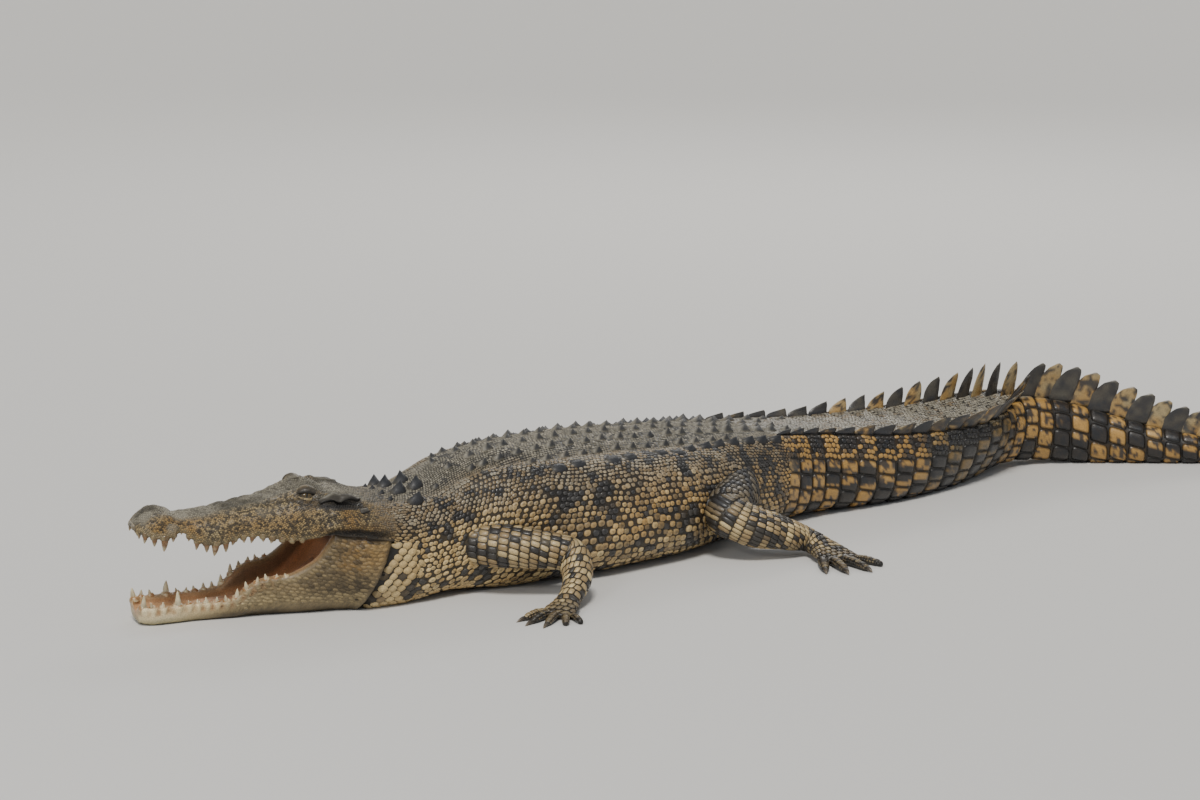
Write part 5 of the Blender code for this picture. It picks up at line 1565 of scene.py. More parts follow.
def lay_ear(coat, side):
    """The long lid over the ear, which overhangs the dark crease behind the eye, and the lobe at its end."""
    for start, end, high, low, half_a, thick, lift in ((0.484, 0.602, 0.3135, 0.303, 0.01, 0.004, 1.5),
                                                       (0.586, 0.612, 0.286, 0.283, 0.0085, 0.0035, 0.3)):
        first, last = arc_at(start, high), arc_at(end, low)
        points, rim, quads, fans = block(28, 8, 0.36, 0.0)
        top = points[:, 2] > 0
        points[top, 2] += 0.3 + lift * unit(points[top, 1] + 0.2) ** 2
        coat.lay(upper, (points, rim, quads, fans),
                 np.array([(start + end) / 2]), np.array([(first + last) / 2]), side,
                 (end - start) / 2, half_a, thick, seam=0.5, tint=lid_tint, fine=True,
                 lean=(last - first) / 2 / half_a)


PEBBLE_PITCH = 0.0062       # of the head's scales
THROAT_ROWS = 18            # rows of pointed scales behind the jaw, from chin to cheek


def lay_head():
    """Pebbled scales of the head, none over the eyes, and pointed ones behind the jaw."""
    coats = []
    for side, name in ((1, "left"), (-1, "right")):
        coat = Coat("scales_head_" + name, "skull", spread(0.0, 0.74))
        s, k = lattice(0.012, 0.674, PEBBLE_PITCH, 66)
        s, a = warp(s, (k + 0.5) * PEBBLE_PITCH * 0.88, side, 0.0024, 0.014, 100)
        keep = (a < np.interp(s, upper.rows, upper.arcs[:, 1]) - 0.003) & (a > 0)
        q = upper.read(*locate(upper, s, a, side), upper.points)
        keep &= np.linalg.norm(q - (EYE_AT, side * EYE_OUT, EYE_HEIGHT), axis=1) > EYE_RADIUS + 0.004
        keep &= (s < 0.6) | (a > back_edge(s) + 0.033 * ramp(0.72, 0.66, s))
        s, a = s[keep], a[keep]
        size = PEBBLE_PITCH * (0.46 + 0.1 * chance(s, a, 8)) * (1 + 0.25 * ramp(0.6, 0.66, s))
        coat.lay(upper, plate(6, 1.0, rings=2), s, a, side, size, size * 0.95,
                 size * (0.26 + 0.22 * ramp(0.3, 0.45, s)), seam=0.85)
        lay_ear(coat, side)
        coats.append(coat)
        coat = Coat("scales_jaw_" + name, "jaw", spread(0.0, 0.76))
        s, k = lattice(0.17, 0.665, 0.0165, 36)
        a = (k + 0.5) * 0.0098
        s, a = s + 0.004 * chance(s, a, 18), a + 0.0022 * chance(s, a, 19)
        s, a = warp(s, a, side, 0.005, 0.025, 104)
        z = jaw.read(*locate(jaw, s, a, side), jaw.points)[:, 2]
        keep = (a < np.interp(s, jaw.rows, jaw.arcs[:, 1]) - 0.005) & (a > 0.01) & (s < gap_line(z) - 0.01)
        keep &= chance(s, a, 13) + 9.0 * (s - 0.26) > -0.2
        keep &= z > 0.04 + 0.012 * noise(np.column_stack([s, a, z]), 0.03, 20)
        s, a = s[keep], a[keep]
        size = (0.95 + 0.3 * chance(s, a, 9)) * (0.62 + 0.38 * ramp(0.22, 0.45, s))
        coat.lay(jaw, plate(8, 0.9, shoulder=0.9, rings=2), s, a, side, 0.0086 * size, 0.0051 * size, 0.0006,
                 seam=0.8)
        s, k = lattice(0.59, 0.742, 0.0235, THROAT_ROWS)
        room = np.interp(s, jaw.rows, jaw.arcs[:, 1])
        a = room * (k + 0.5) / THROAT_ROWS
        keep = s > gap_line(jaw.read(*locate(jaw, s, a, side), jaw.points)[:, 2]) + 0.002
        s, a, room = s[keep], a[keep], room[keep]
        size = 0.95 + 0.08 * chance(s, a, 10)
        coat.lay(jaw, plate(16, 1.15, tilt=0.6, point=0.15, peak=0.1, roof=-0.15, shoulder=0.84),
                 s, a, side, 0.0116 * size, room / THROAT_ROWS * 0.7 * size, 0.003, hidden=[upper])
        coats.append(coat)
    return coats


def lay_limbs():
    """Scales of the limbs, with the largest plates along the front edge."""
    coats = []
    for limb, toes, last, sign in limbs:
        hind = last == "foot"
        name = ("hind_" if hind else "fore_") + ("left" if sign > 0 else "right")
        coat = Coat("scales_" + name, name[:4], box_unwrap(0.01, 0.1, 0.99, 0.99))
        measure(limb, [0, LIMB_SIDES])
        places, along = [], 0.02
        while along < limb.run[-1] - 0.004:
            pitch = (0.0265 if hind else 0.028) * (1 - 0.35 * along / limb.run[-1])
            places.append((along, pitch))
            along += pitch
        for index, (along, big) in enumerate(places):
            row = float(np.interp(along, limb.run, limb.rows))
            girth = float(np.interp(row, limb.rows, limb.arcs[:, 1]))
            turns = np.linspace(0, 2 * math.pi, 361)
            wide = 0.62 + 0.8 * bell(np.angle(np.exp(1j * turns)), 0.9)
            total = np.concatenate([[0], np.cumsum(1 / wide[:-1])])
            count = max(8, round(girth / (big * 0.8)))
            edges = np.interp((np.arange(count + 1) + 0.5 * (index % 2)) / count * total[-1],
                              np.append(total, total[1:] + total[-1]),
                              np.append(turns, turns[1:] + 2 * math.pi))
            centre, half = (edges[1:] + edges[:-1]) / 2, np.diff(edges) / 2
            scale = girth / (2 * math.pi)
            coat.lay(limb, plate(9, 0.45, tilt=0.22, point=0.12, shoulder=0.86),
                     np.full(count, row), centre * scale, 1,
                     big * 0.47, half * scale * 0.93, 0.0026, hidden=[upper])
        for number, toe in enumerate(toes):
            coat.unwrap = box_unwrap(0.01 + 0.19 * number, 0.01, 0.19 + 0.19 * number, 0.09)
            measure(toe, [0, TOE_SIDES])
            for along in np.arange(0.016, toe.run[-1] - 0.003, 0.0088):
                row = float(np.interp(along, toe.run, toe.rows))
                girth = float(np.interp(row, toe.rows, toe.arcs[:, 1]))
                coat.lay(toe, plate(8, 0.5, tilt=0.25, point=0.1),
                         np.full(1, row), np.array([0.25]) * girth, 1,
                         0.0042, girth * 0.16, 0.0016, hidden=[limb])
                coat.lay(toe, plate(6, 0.8, rings=2),
                         np.full(2, row), np.array([0.03, 0.47]) * girth, 1,
                         0.0036, girth * 0.05, 0.0012, hidden=[limb])
        coats.append(coat)
    return coats


# ---------------------------------------------------------------- materials

GRAIN_SPAN = (0.3, 0.7)         # the part of a noise's range that is stretched to the whole
WET_PATCHES = 9.0               # scale of the noise that makes the hide's gloss uneven


class Nodes:
    """Builds one procedural material around its Principled shader."""

    def __init__(self, name):
        self.material = bpy.data.materials.new(name)
        self.material.use_nodes = True
        self.tree = self.material.node_tree
        self.shader = self.tree.nodes["Principled BSDF"]
        self.where = self.tree.nodes.new("ShaderNodeTexCoord").outputs["Object"]

    def add(self, kind, inputs=(), **settings):
        node = self.tree.nodes.new(kind)
        for key, value in settings.items():
            setattr(node, key, value)
        for key, value in dict(inputs).items():
            if isinstance(value, bpy.types.NodeSocket):
                self.tree.links.new(value, node.inputs[key])
            else:
                node.inputs[key].default_value = value
        return node

    def noise(self, scale, detail=4.0, rough=0.55):
        inputs = {"Vector": self.where, "Scale": scale, "Detail": detail, "Roughness": rough}
        return self.add("ShaderNodeTexNoise", inputs).outputs["Fac"]

    def cells(self, scale, feature="F1"):
        inputs = {"Vector": self.where, "Scale": scale}
        return self.add("ShaderNodeTexVoronoi", inputs, feature=feature).outputs["Distance"]

    def span(self, value, low, high, start=0.0, end=1.0):
        inputs = {"Value": value, "From Min": low, "From Max": high, "To Min": start, "To Max": end}
        return self.add("ShaderNodeMapRange", inputs).outputs["Result"]

    def times(self, colour, value):
        return self.add("ShaderNodeVectorMath", {0: colour, 1: value}, operation="MULTIPLY").outputs[0]

    def attribute(self):
        return self.add("ShaderNodeAttribute", attribute_name="Hide").outputs["Color"]

    def bump(self, pairs):
        normal = None
        for height, strength, distance in pairs:
            node = self.add("ShaderNodeBump", {"Height": height, "Strength": strength, "Distance": distance})
            if normal:
                self.tree.links.new(normal, node.inputs["Normal"])
            normal = node.outputs["Normal"]
        self.tree.links.new(normal, self.shader.inputs["Normal"])

    def close(self, colour, rough, **constants):
        self.tree.links.new(colour, self.shader.inputs["Base Color"])
        if isinstance(rough, bpy.types.NodeSocket):
            self.tree.links.new(rough, self.shader.inputs["Roughness"])
        else:
            self.shader.inputs["Roughness"].default_value = rough
        for key, value in constants.items():
            self.shader.inputs[key.replace("_", " ")].default_value = value
        return self.material

    def grained(self, pattern, shades, gloss, **constants):
        """Close with the mesh's colour times shades, and a roughness from gloss, both by the pattern."""
        colour = self.times(self.attribute(), self.span(pattern, *GRAIN_SPAN, *shades))
        return self.close(colour, self.span(pattern, *GRAIN_SPAN, *gloss), **constants)


def hide_material(name, grain, crack, rough, coat):
    """Horny hide: its markings, painted shade and painted highlights from the mesh, with fine grain, small
    cracks and uneven wetness.
    """
    m = Nodes(name)
    fine = m.noise(grain, 6.0, 0.62)
    broad = m.noise(WET_PATCHES, 3.0)
    cracks = m.cells(crack, "DISTANCE_TO_EDGE")
    colour = m.times(m.attribute(), m.span(fine, 0.25, 0.75, 0.62, 1.38))
    colour = m.times(colour, m.span(cracks, 0.0, 0.06, 0.72, 1.0))
    both = m.add("ShaderNodeMath", {0: broad, 1: fine}, operation="ADD").outputs[0]
    roughness = m.span(both, 0.75, 1.25, *rough)
    m.bump([(fine, 0.45, 0.0006), (m.span(cracks, 0.0, 0.08), 0.35, 0.0005)])
    return m.close(colour, roughness, Coat_Weight=coat, Coat_Roughness=0.22)


def make_materials():
    kinds = {
        "skin": hide_material("skin", 260.0, 210.0, (0.34, 0.62), 0.1),
        "scale": hide_material("scale", 330.0, 190.0, (0.26, 0.52), 0.22),
        "back": hide_material("back_scale", 300.0, 260.0, (0.42, 0.72), 0.05),
    }
    m = Nodes("tooth")
    stretched = m.add("ShaderNodeMapping", {"Vector": m.where, "Scale": (1.0, 1.0, 0.15)}).outputs[0]
    inputs = {"Vector": stretched, "Scale": 420.0, "Detail": 5.0}
    streak = m.add("ShaderNodeTexNoise", inputs).outputs["Fac"]
    m.bump([(streak, 0.25, 0.0003)])
    kinds["tooth"] = m.grained(streak, (0.8, 1.12), (0.18, 0.36), Coat_Weight=0.3, Coat_Roughness=0.12,
                               Subsurface_Weight=0.08, Subsurface_Scale=0.004)
    m = Nodes("claw")
    streak = m.noise(300.0, 5.0)
    m.bump([(streak, 0.35, 0.0004)])
    kinds["claw"] = m.grained(streak, (0.6, 1.4), (0.28, 0.5), Coat_Weight=0.2, Coat_Roughness=0.2)
    m = Nodes("eye")
    kinds["eye"] = m.grained(m.noise(900.0, 6.0), (0.65, 1.35), (0.05, 0.1), Coat_Weight=0.6,
                             Coat_Roughness=0.03)
    m = Nodes("tongue")
    pores = m.cells(420.0)
    m.bump([(pores, 0.5, 0.0006), (m.noise(120.0), 0.4, 0.001)])
    colour = m.times(m.attribute(), m.span(m.noise(160.0), *GRAIN_SPAN, 0.75, 1.25))
    kinds["tongue"] = m.close(colour, m.span(pores, 0.0, 1.0, 0.42, 0.65),
                              Coat_Weight=0.08, Coat_Roughness=0.3,
                              Subsurface_Weight=0.1, Subsurface_Scale=0.005)
    return kinds


# ---------------------------------------------------------------- smaller pieces

def gather(name, parts, material, replaced=()):
    """Join (points, colours, faces) parts in straightened coordinates into one placed piece."""
    vertices, colours, faces, count = [], [], [], 0
    for points, colour, shapes in parts:
        vertices.append(place(points))
        colours.append(np.broadcast_to(colour, points.shape))
        faces += [shape + count for shape in shapes]
        count += len(points)
    obj = link(name, np.concatenate(vertices), faces)
    turn_out(obj)
    finish(obj, np.concatenate(colours), None, material)
    if replaced:
        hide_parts(*replaced)


def horn(root, tip, radius, sides, levels, bend, shape):
    """A curved cone from root to tip: its points, each point's share of the length, and its faces."""
    share = np.linspace(0, 1, levels)
    axis = tip - root
    length = np.linalg.norm(axis)
    axis = axis / length
    across = np.cross(axis, (0.0, 1.0, 0.0) if abs(axis[1]) < 0.8 else (1.0, 0.0, 0.0))
    across /= np.linalg.norm(across)
    up = np.cross(axis, across)
    bow = np.array(bend) * (np.sin(share * math.pi) * length)[:, None]
    centre = root + axis * (share * length)[:, None] + bow
    angle = once_round(sides)
    width = radius * np.interp(share, *shape)
    circle = across * np.cos(angle)[:, None] + up * np.sin(angle)[:, None]
    points, faces = capped(Surface(np.arange(levels), centre[:, None] + circle[None] * width[:, None, None]))
    return points, np.concatenate([np.repeat(share, sides), [0.0, 1.0]]), faces


# Shares of a horn's length, and its radius there as a share of the radius at its foot.
TOOTH_SHAPE = ((0, 0.12, 0.35, 0.6, 0.8, 0.92, 0.98, 1.0), (0.86, 1.0, 0.96, 0.74, 0.47, 0.26, 0.13, 0.04))
GUM_SHAPE = ((0, 0.5, 0.8, 0.93, 1.0), (1.1, 1.06, 0.93, 0.78, 0.6))
CLAW_SHAPE = ((0, 0.2, 0.5, 0.75, 0.92, 1.0), (1.0, 0.96, 0.74, 0.48, 0.22, 0.06))


def lower_lip(s):
    """Out and height of the lower jaw's lip edge."""
    above, _ = upper_bottom(s)
    return profile(JAW_HALF_WIDTH, s) * JAW_LIP_SHARE, min(profile(LOWER_LIP, s), above)


def make_teeth(upper_row):
    """The teeth of one jaw with the gum that rises round each."""
    parts = []
    rise, lean, stout, collar = (-1, UPPER_LEAN, 1.45, 0.0075) if upper_row else (1, LOWER_LEAN, 1.18, 0.006)
    flesh, ripe = (UPPER_GUM, UPPER_GUM_DARK) if upper_row else (BONE, GUM * 0.9)
    for sign in (1, -1):
        for number, (s, length, radius) in enumerate(UPPER_TEETH if upper_row else LOWER_TEETH):
            wide, height = (profile(LIP_HALF_WIDTH, s), upper_bottom(s)[0]) if upper_row else lower_lip(s)
            out = wide - TOOTH_INSET
            twist = 0.0035 * math.sin(number * 2.9 + sign)
            length = length * (1 + 0.1 * math.sin(number * 4.1 + 2 * sign))
            length = length * (1 - 0.45 * float(ramp(0.31, 0.4, s)) * upper_row)
            root = np.array([s, sign * out, height - rise * TOOTH_ROOT])
            tip = np.array([s - TOOTH_RAKE + twist, sign * (out + lean * length), height + rise * length])
            points, share, faces = horn(root, tip, radius * stout, 12, 12, (0.0, sign * 0.07, 0.0),
                                        TOOTH_SHAPE)
            share = unit((share * (length + TOOTH_ROOT) - TOOTH_ROOT) / length)
            brown = 0.95 if upper_row else 0.25 + 0.25 * math.sin(number * 1.9)
            stain = unit(brown * (1.35 - share) + 0.3 * noise(points, 0.006, 120))
            parts.append((points, mix(TOOTH, TOOTH_STAIN, stain), faces))
            base = np.array([s, sign * out, height])
            axis = (tip - root) / np.linalg.norm(tip - root)
            points, share, faces = horn(base - axis * 0.008, base + axis * collar, radius * 1.9, 14, 8,
                                        (0, 0, 0), GUM_SHAPE)
            points = points + 0.0006 * noise(points, 0.004, 121)[:, None] * (1, 1, 0)
            gum = mix(flesh, ripe, unit(0.25 + noise(points, 0.009, 122) + 0.5 * share))
            parts.append((points, gum, faces))
    return parts


TONGUE_ROWS, TONGUE_SIDES = 70, 40


def make_tongue():
    """A broad flat tongue lying on the floor of the mouth."""
    rings = []
    rows = np.linspace(TONGUE[0] + 0.002, TONGUE[1] - 0.002, TONGUE_ROWS)
    for s in rows:
        wide = profile(JAW_HALF_WIDTH, s) * JAW_LIP_SHARE
        share = (s - rows[0]) / (rows[-1] - rows[0])
        half = max(wide - profile(LIP_THICKNESS, s), wide * LEAST_MOUTH_SHARE) * TONGUE_SHARE * 1.04
        half = half * np.clip(1 - (1 - share / 0.25) ** 2, 0.02, 1) ** 0.5 if share < 0.25 else half
        floor = profile(MOUTH_FLOOR, s)
        end = unit((1 - share) / 0.3) ** 0.5
        lift = TONGUE_THICKNESS * 0.7 * np.clip(share / 0.12, 0.15, 1) ** 0.5 * end
        half = half * (0.55 + 0.45 * end)
        angle = once_round(TONGUE_SIDES)
        y = half * squared(np.cos(angle), 0.7)
        z = np.where(np.sin(angle) > 0, abs(np.sin(angle)) ** 0.7 * lift, -0.012 * abs(np.sin(angle)))
        z = floor + 0.001 - 0.006 * (1 - end) + z - 0.0022 * bell(y, 0.006) * (np.sin(angle) > 0)
        rings.append(np.column_stack([np.full(TONGUE_SIDES, s), y, z]))
    tongue = Surface(rows, np.array(rings))
    flat = tongue.points.reshape(-1, 3)
    tongue.swell(0.0012 * fractal(flat, 0.018, 130).reshape(tongue.points.shape[:2]))
    points, faces = capped(tongue)
    front = ramp(0.35, 0.15, points[:, 0])
    colour = mix(TONGUE_REAR, TONGUE_FRONT, front)
    return [(points, colour * (1 + 0.2 * fractal(points, 0.03, 131))[:, None], faces)]


EYE_TURNS = 72


def make_eye(sign):
    """An eyeball with an olive iris round an upright slit."""
    centre, along, up, look = eye_frame(sign)
    tilt = np.concatenate([np.linspace(0.02, 0.75, 26), np.linspace(0.8, math.pi - 0.05, 24)])
    turn = once_round(EYE_TURNS)
    a, b = np.sin(tilt)[:, None] * np.cos(turn), np.sin(tilt)[:, None] * np.sin(turn)
    way = a[..., None] * along + b[..., None] * up + np.cos(tilt)[:, None, None] * look
    swell = 1 + 0.02 * ramp(0.62, 0.25, tilt)
    ball = Surface(np.arange(len(tilt)), centre + way * (EYE_RADIUS * 0.985 * swell)[:, None, None])
    points, faces = capped(ball)
    a, b = np.append(a.ravel(), [0, 0]), np.append(b.ravel(), [0, 0])
    reach = np.append(np.repeat(tilt, EYE_TURNS), [0, math.pi])
    ray = noise(np.column_stack([np.arctan2(b, a) * 2.6, reach * 0.6, reach * 0]), 0.35, 140)
    iris = mix(IRIS, IRIS_DARK, unit(0.5 + 0.6 * ray))
    colour = mix(iris, EYE_RIM, ramp(0.56, 0.66, reach))
    slit = (a / 0.085) ** 2 + (b / 0.5) ** 2
    colour = mix(colour, PUPIL, ramp(1.25, 0.85, slit))
    return [(points, colour, faces)]


def make_claw(root, heading, radius):
    """A curved claw that rests on the floor."""
    foot = np.array([root[0], root[1], radius * CLAW_REST])
    tip = foot + heading * CLAW_LENGTH
    tip[2] = CLAW_TIP_HEIGHT
    points, share, faces = horn(foot, tip, radius * CLAW_WIDTH, 14, 12, (0, 0, 0.1), CLAW_SHAPE)
    return [(points, mix(CLAW_ROOT, CLAW_TIP, share ** 2), faces)]


FIN_SIDES, FIN_LEVELS = 20, 13
FIN_ROOT = 0.018            # how deep a fin is rooted


def make_crest():
    """The fins along the tail: paired leaning ones, then single tall ones, each swept back."""
    parts = []
    for whorl, (s, pitch) in enumerate(zip(WHORLS[:-1], PITCHES)):
        pair = whorl < DOUBLE_WHORLS
        height = float(profile(CREST_HEIGHT, s)) * (1.07 - 0.42 * float(ramp(2.37, 2.28, s)))
        place_out = float(profile(FLAT_BACK, s + pitch / 2)) - BLADE_INSET if pair else 0.0
        for sign in (1, -1)[:2 if pair else 1]:
            base = float(profile(TOP, s) - profile(BACK_CROWN, s))
            splay = math.radians(BLADE_SPLAY) if pair else 0.0
            share = np.linspace(0, 1, FIN_LEVELS)
            rise = -FIN_ROOT + (height + FIN_ROOT) * share
            lift = unit(rise / height)
            full = pitch * (0.98 if pair else 1.38)
            leaf = float(ramp(7.0, 11.0, whorl))
            sharp = 0.3 * lift + 0.66 * lift ** 2.6
            narrow = 0.12 * lift + 0.5 * lift ** 4
            if pair:
                narrow = sharp + (0.12 * lift + 0.74 * lift ** 3.6 - sharp) * leaf
            rounded = np.sqrt(np.clip(1 - ramp(0.86, 1.02, lift) ** 2, 0.02, 1))
            foot = full * np.clip(1 - narrow, 0.05, 1) * rounded
            middle = s + pitch * 0.5 + (full - foot) * (0.45 - 0.2 * leaf if pair else 0.1)
            middle = middle + height * (0.16 if pair else 0.46) * lift ** 1.2
            thick = np.interp(lift, (0, 0.25, 0.7, 1), (0.008, 0.0052, 0.003, 0.001))
            thick = thick * min(1.0, 0.5 + height / 0.05)
            angle = once_round(FIN_SIDES)
            x = middle[:, None] + foot[:, None] / 2 * np.cos(angle)
            y = thick[:, None] * squared(np.sin(angle), 1.3)
            sway = (0.0012 if whorl % 2 else -0.0012) * (not pair)
            wave = 0.003 * np.sin(share * 3.0 + whorl * 1.7) * share + sway
            y = y + wave[:, None]
            points = np.stack([x, sign * (place_out + rise[:, None] * math.sin(splay) + y),
                               base + rise[:, None] * math.cos(splay) + 0 * x], axis=-1)
            fin = Surface(np.arange(FIN_LEVELS), points)
            rough = 0.0007 * noise(points.reshape(-1, 3), 0.01, 150).reshape(points.shape[:2])
            fin.swell(rough * (share < 0.95)[:, None])
            points, faces = capped(fin)
            up = np.append(np.repeat(lift, FIN_SIDES), [0, 1])
            cell = math.cos(whorl * math.pi * 0.93 + sign)
            cell = cell + 0.5 * noise(np.array([[whorl * 0.55, sign * 3.0, 0.0]]), 1.0, 151)[0]
            speck = noise(points, 0.009, 152) + 0.5 * noise(points, 0.022, 153)
            pale = painted(
                OCHRE,
                (CREAM * 0.7, unit(0.4 + 0.6 * noise(points, 0.03, 154) + 0.4 * up)),
                (BLACK * 1.6, ramp(0.15, 0.45, speck - 0.2 * cell) * 0.92))
            dark = mix(BLACK * 1.6, DUST * 0.4, unit(0.2 + 0.8 * noise(points, 0.02, 155)))
            colour = mix(pale, dark, ramp(-0.15, 0.15, cell + 0.25 * speck + 0.8 * (whorl < 6)) * 0.96)
            # painted shade on the outer faces of the paired fins, and a painted highlight along the top edge
            # of every fin
            outer = np.append(np.tile(np.sin(angle) > 0.1, FIN_LEVELS), [True, False]) * pair
            colour = painted(
                colour,
                (BLACK * 1.5, outer * ramp(-0.5, 0.1, speck + 0.4) * 0.85),
                (DUST * 1.5, ramp(0.88, 1.0, up) * 0.35))
            parts.append((points, colour, faces))
    return parts


# ---------------------------------------------------------------- the skin and everything on it

def dress_skin(mesh):
    """Colour and unwrap the merged skin by the surface that each of its points came from."""
    parts = [(upper, None, spread(0.0, 4.26), (0.0, 0.6, 1.0, 0.39)),
             (jaw, "jaw", spread(0.0, 0.76), (0.0, 0.36, 0.4, 0.22))]
    for number, (limb, toes, last, _) in enumerate(limbs):
        zone = "hind" if last == "foot" else "fore"
        parts.append((limb, zone, box_unwrap(0, 0, 1, 1), (0.42 + 0.145 * (number % 4), 0.36, 0.14, 0.22)))
        for k, toe in enumerate(toes):
            parts.append((toe, zone, box_unwrap(0, 0, 1, 1), (0.05 * (number * 5 + k), 0.27, 0.045, 0.07)))
    for k, lid in enumerate(lids):
        parts.append((lid, ("upper_lid", "lower_lid")[k % 2], box_unwrap(0, 0, 1, 1),
                      (0.1 * k, 0.15, 0.09, 0.1)))
    tree = KDTree(sum(part[0].points[..., 0].size for part in parts))
    owners, spots = [], []
    for index, (surface, _, _, _) in enumerate(parts):
        n, m = surface.points.shape[:2]
        i, j = np.divmod(np.arange(n * m), m)
        spots.append(np.column_stack([i, j]))
        owners.append(np.full(n * m, index))
        offset = sum(len(o) for o in owners[:-1])
        for k, p in enumerate(surface.points.reshape(-1, 3)):
            tree.insert(p, offset + k)
    tree.balance()
    owners, spots = np.concatenate(owners), np.concatenate(spots)
    straight = np.empty(len(mesh.vertices) * 3)
    mesh.vertices.foreach_get("co", straight)
    straight = straight.reshape(-1, 3)
    nearest = np.array([tree.find(p)[1] for p in straight])
    colours = np.zeros((len(straight), 3))
    for index, (surface, zone, _, _) in enumerate(parts):
        mine = owners[nearest] == index
        if not mine.any():
            continue
        q = straight[mine]
        i, j = spots[nearest[mine]].T
        inside = surface.inside[i, j] if hasattr(surface, "inside") else np.zeros(len(q))
        kinds = np.where(q[:, 0] < 0.78, "skull", "body") if zone is None else np.full(len(q), zone)
        made = np.zeros((len(q), 3))
        for kind in set(kinds):
            pick = kinds == kind
            made[pick] = hide_colour(kind, q[pick], np.zeros(pick.sum()), inside[pick])
        bare = inside
        if zone == "jaw":
            bare = np.maximum(bare, ramp(0.34, 0.2, q[:, 0]))
            bare = np.maximum(bare, 0.65 * ramp(0.01, -0.01, q[:, 0] - gap_line(q[:, 2])))
        elif zone in ("upper_lid", "lower_lid"):
            bare = np.ones(len(q))
            away = np.minimum(j, surface.points.shape[1] - 1 - j)
            leather = EYELID * (1 + 0.4 * noise(q, 0.004, 160))[:, None]
            made = mix(leather, made, ramp(3, 9, away) * 0.8)
            # painted shade: the upper lid's edge is darkened
            made = mix(made, EYELID_EDGE if zone == "lower_lid" else SHADE_BLACK, (away < 2) * 0.75)
        if zone is None:
            bare = np.maximum(bare, 0.55 * ramp(0.7, 0.64, q[:, 0]))
        # painted shade: skin that the scales cover is darkened, so that the gaps between scales look shaded
        made = mix(mix(made * 0.16, SHADE_BLACK, 0.5), made, bare)
        if zone is None or zone == "jaw":
            # painted shadow in the groove where the jaw ends
            shade = bell(q[:, 0] - gap_line(q[:, 2]) - 0.006, 0.015) * ramp(0.23, 0.2, q[:, 2])
            made = mix(made, SHADE_BLACK * 0.7, shade * (1 - inside))
        colours[mine] = made
    # unwrap by face, so that no face runs across the seam
    loops = np.empty(len(mesh.loops), dtype=np.int32)
    mesh.loops.foreach_get("vertex_index", loops)
    starts = np.empty(len(mesh.polygons), dtype=np.int32)
    mesh.polygons.foreach_get("loop_start", starts)
    face_of = np.repeat(np.arange(len(starts)), np.diff(np.append(starts, len(loops))))
    first = nearest[loops[starts]][face_of]
    own, spot = owners[nearest[loops]], spots[nearest[loops]].astype(float)
    stray = own != owners[first]
    spot[stray] = spots[first[stray]] + 0.3
    own = owners[first]
    uv = np.zeros((len(loops), 2))
    for index, (surface, _, unwrap, (left, low, wide, tall)) in enumerate(parts):
        mine = own == index
        m = surface.points.shape[1]
        away = spot[mine, 1] - spots[first[mine], 1]
        column = spots[first[mine], 1] + np.where(
            away > m / 2, away - m, np.where(away < -m / 2, away + m, away))
        flat = unwrap(surface, spot[mine, 0], spots[first[mine], 1] * 1.0)
        flat[:, 1] += (column - spots[first[mine], 1]) / m
        uv[mine] = unit(flat) * (wide * 0.98, tall * 0.98) + (left, low)
    return straight, colours, uv


def make_skin(mesh, materials):
    straight, colours, uv = dress_skin(mesh)
    mesh.vertices.foreach_set("co", place(straight).ravel())
    mesh.update()
    mesh.shade_smooth()
    mesh.name = "skin"
    skin = show("skin", mesh)
    finish(skin, colours, None, materials["skin"])
    unwrap = mesh.uv_layers.new(name="OFBake")
    unwrap.data.foreach_set("uv", np.clip(uv, 0.001, 0.999).astype(np.float32).ravel())
    flesh = [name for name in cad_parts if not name.startswith("eye") and "claw" not in name
             and name != "tongue"]
    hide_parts(*flesh)


mesh, upper, jaw, limbs, claws, lids = build_skin()
measure(upper, [0, OUTER, OUTER + INNER])
measure(jaw, [0, JAW_OUTER, JAW_OUTER + JAW_INNER])
materials = make_materials()
make_skin(mesh, materials)
for coat in lay_flanks() + lay_tail() + lay_limbs():
    coat.make(materials["scale"])
for coat in lay_back() + lay_head():
    coat.make(materials["back"])
gather("teeth_upper", make_teeth(True), materials["tooth"])
gather("teeth_lower", make_teeth(False), materials["tooth"])
gather("tongue_skin", make_tongue(), materials["tongue"], ["tongue"])
gather("crest", make_crest(), materials["scale"])
for sign, side in ((1, "left"), (-1, "right")):
    gather("eyeball_" + side, make_eye(sign), materials["eye"], ["eye_" + side])
for name, root, heading, radius in claws:
    gather("horn_" + name, make_claw(root, heading, radius), materials["claw"], [name])


# ---------------------------------------------------------------- camera, light and floor

def make_camera():
    """A camera low on the animal's left, ahead of its shoulder, as the photograph was taken."""
    data = bpy.data.cameras.new("camera")
    data.sensor_width = 36.0
    data.lens = CAMERA_LENS
    data.clip_end = 100.0
    camera = show("camera", data)
    camera.location = CAMERA_PLACE
    turn, pitch = math.radians(CAMERA_TURN), math.radians(CAMERA_PITCH)
    look = Vector((math.sin(turn) * math.cos(pitch), math.cos(turn) * math.cos(pitch), -math.sin(pitch)))
    camera.rotation_euler = look.to_track_quat("-Z", "Y").to_euler()
    bpy.context.scene.camera = camera


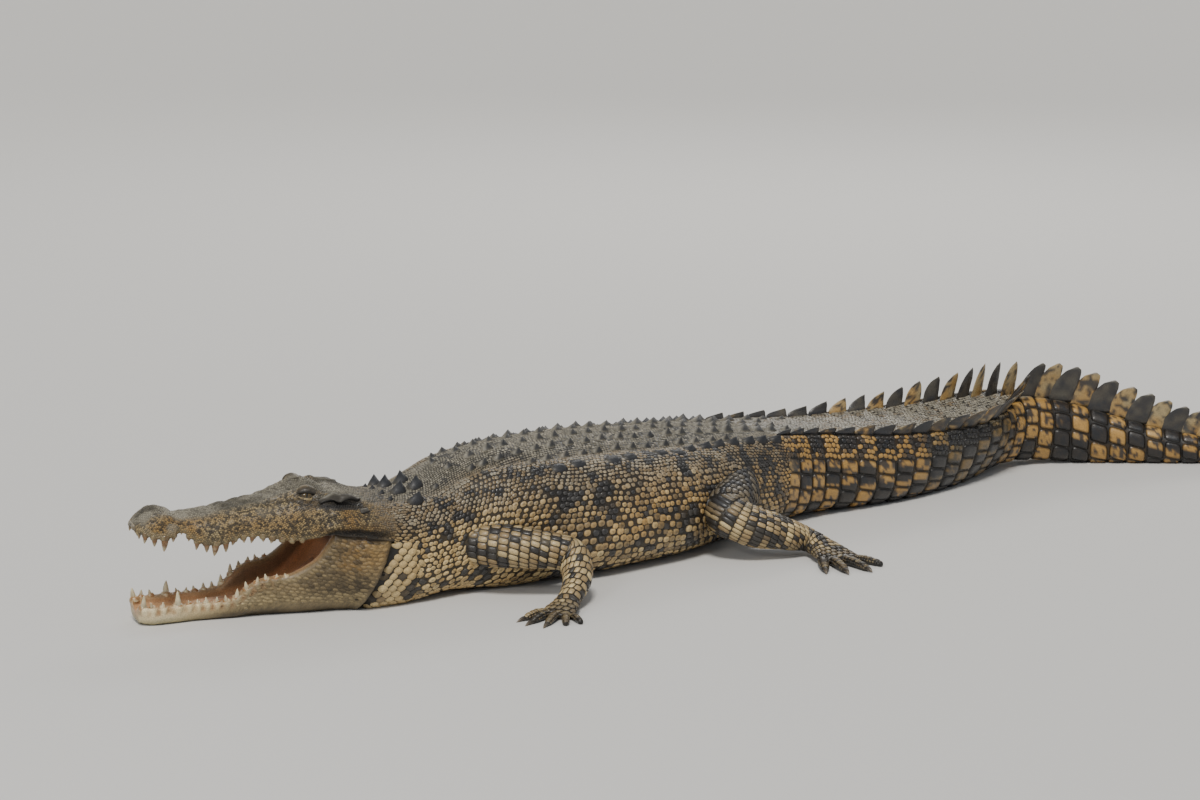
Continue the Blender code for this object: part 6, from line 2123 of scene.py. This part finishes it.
def make_light(name, place_at, target, size, power, colour):
    """A rectangular lamp that faces its target."""
    data = bpy.data.lights.new(name, "AREA")
    data.shape = "RECTANGLE"
    data.size, data.size_y = size
    data.energy = power
    data.color = colour
    light = show(name, data)
    light.location = place_at
    light.rotation_euler = (Vector(target) - Vector(place_at)).to_track_quat("-Z", "Y").to_euler()


def make_stage():
    """A pale floor that curves up into a backdrop behind the animal, seen from the camera."""
    angle = np.radians(np.linspace(0, 90, 25))
    away = np.concatenate([[-60.0], 26 + 9 * np.sin(angle), [35.0]])
    height = np.concatenate([[0.0], 9 - 9 * np.cos(angle), [40.0]])
    turn = math.radians(CAMERA_TURN)
    ahead, across = np.array([math.sin(turn), math.cos(turn)]), np.array([math.cos(turn), -math.sin(turn)])
    points = [np.append(ahead * a + across * side, h - 0.0005) for a, h in zip(away, height)
              for side in (-70, 70)]
    i = np.arange(len(away) - 1) * 2
    floor = link("floor", points, np.stack([i, i + 1, i + 3, i + 2], axis=1))
    material = bpy.data.materials.new("floor")
    material.use_nodes = True
    shader = material.node_tree.nodes["Principled BSDF"]
    shader.inputs["Base Color"].default_value = (0.64, 0.63, 0.61, 1.0)
    shader.inputs["Roughness"].default_value = 0.9
    floor.data.materials.append(material)
    world = bpy.data.worlds.new("studio")
    world.use_nodes = True
    world.node_tree.nodes["Background"].inputs["Color"].default_value = (0.88, 0.93, 1.0, 1.0)
    world.node_tree.nodes["Background"].inputs["Strength"].default_value = 0.4
    bpy.context.scene.world = world
    key = bpy.data.lights.new("key", "SUN")
    key.energy = 2.5
    key.angle = math.radians(14)
    key.color = (1.0, 0.965, 0.9)
    sun = show("key", key)
    sun.rotation_euler = Vector((1.8, 2.9, -6.0)).to_track_quat("-Z", "Y").to_euler()
    make_light("rim", (4.0, 6.0, 4.5), (0, 0, 0.2), (4.0, 2.0), 120, (1.0, 0.98, 0.95))
    make_light("gloss", (-6.0, -4.0, 4.0), (-0.6, 0, 0.2), (2.0, 1.2), 90, (1.0, 1.0, 1.0))


make_camera()
make_stage()
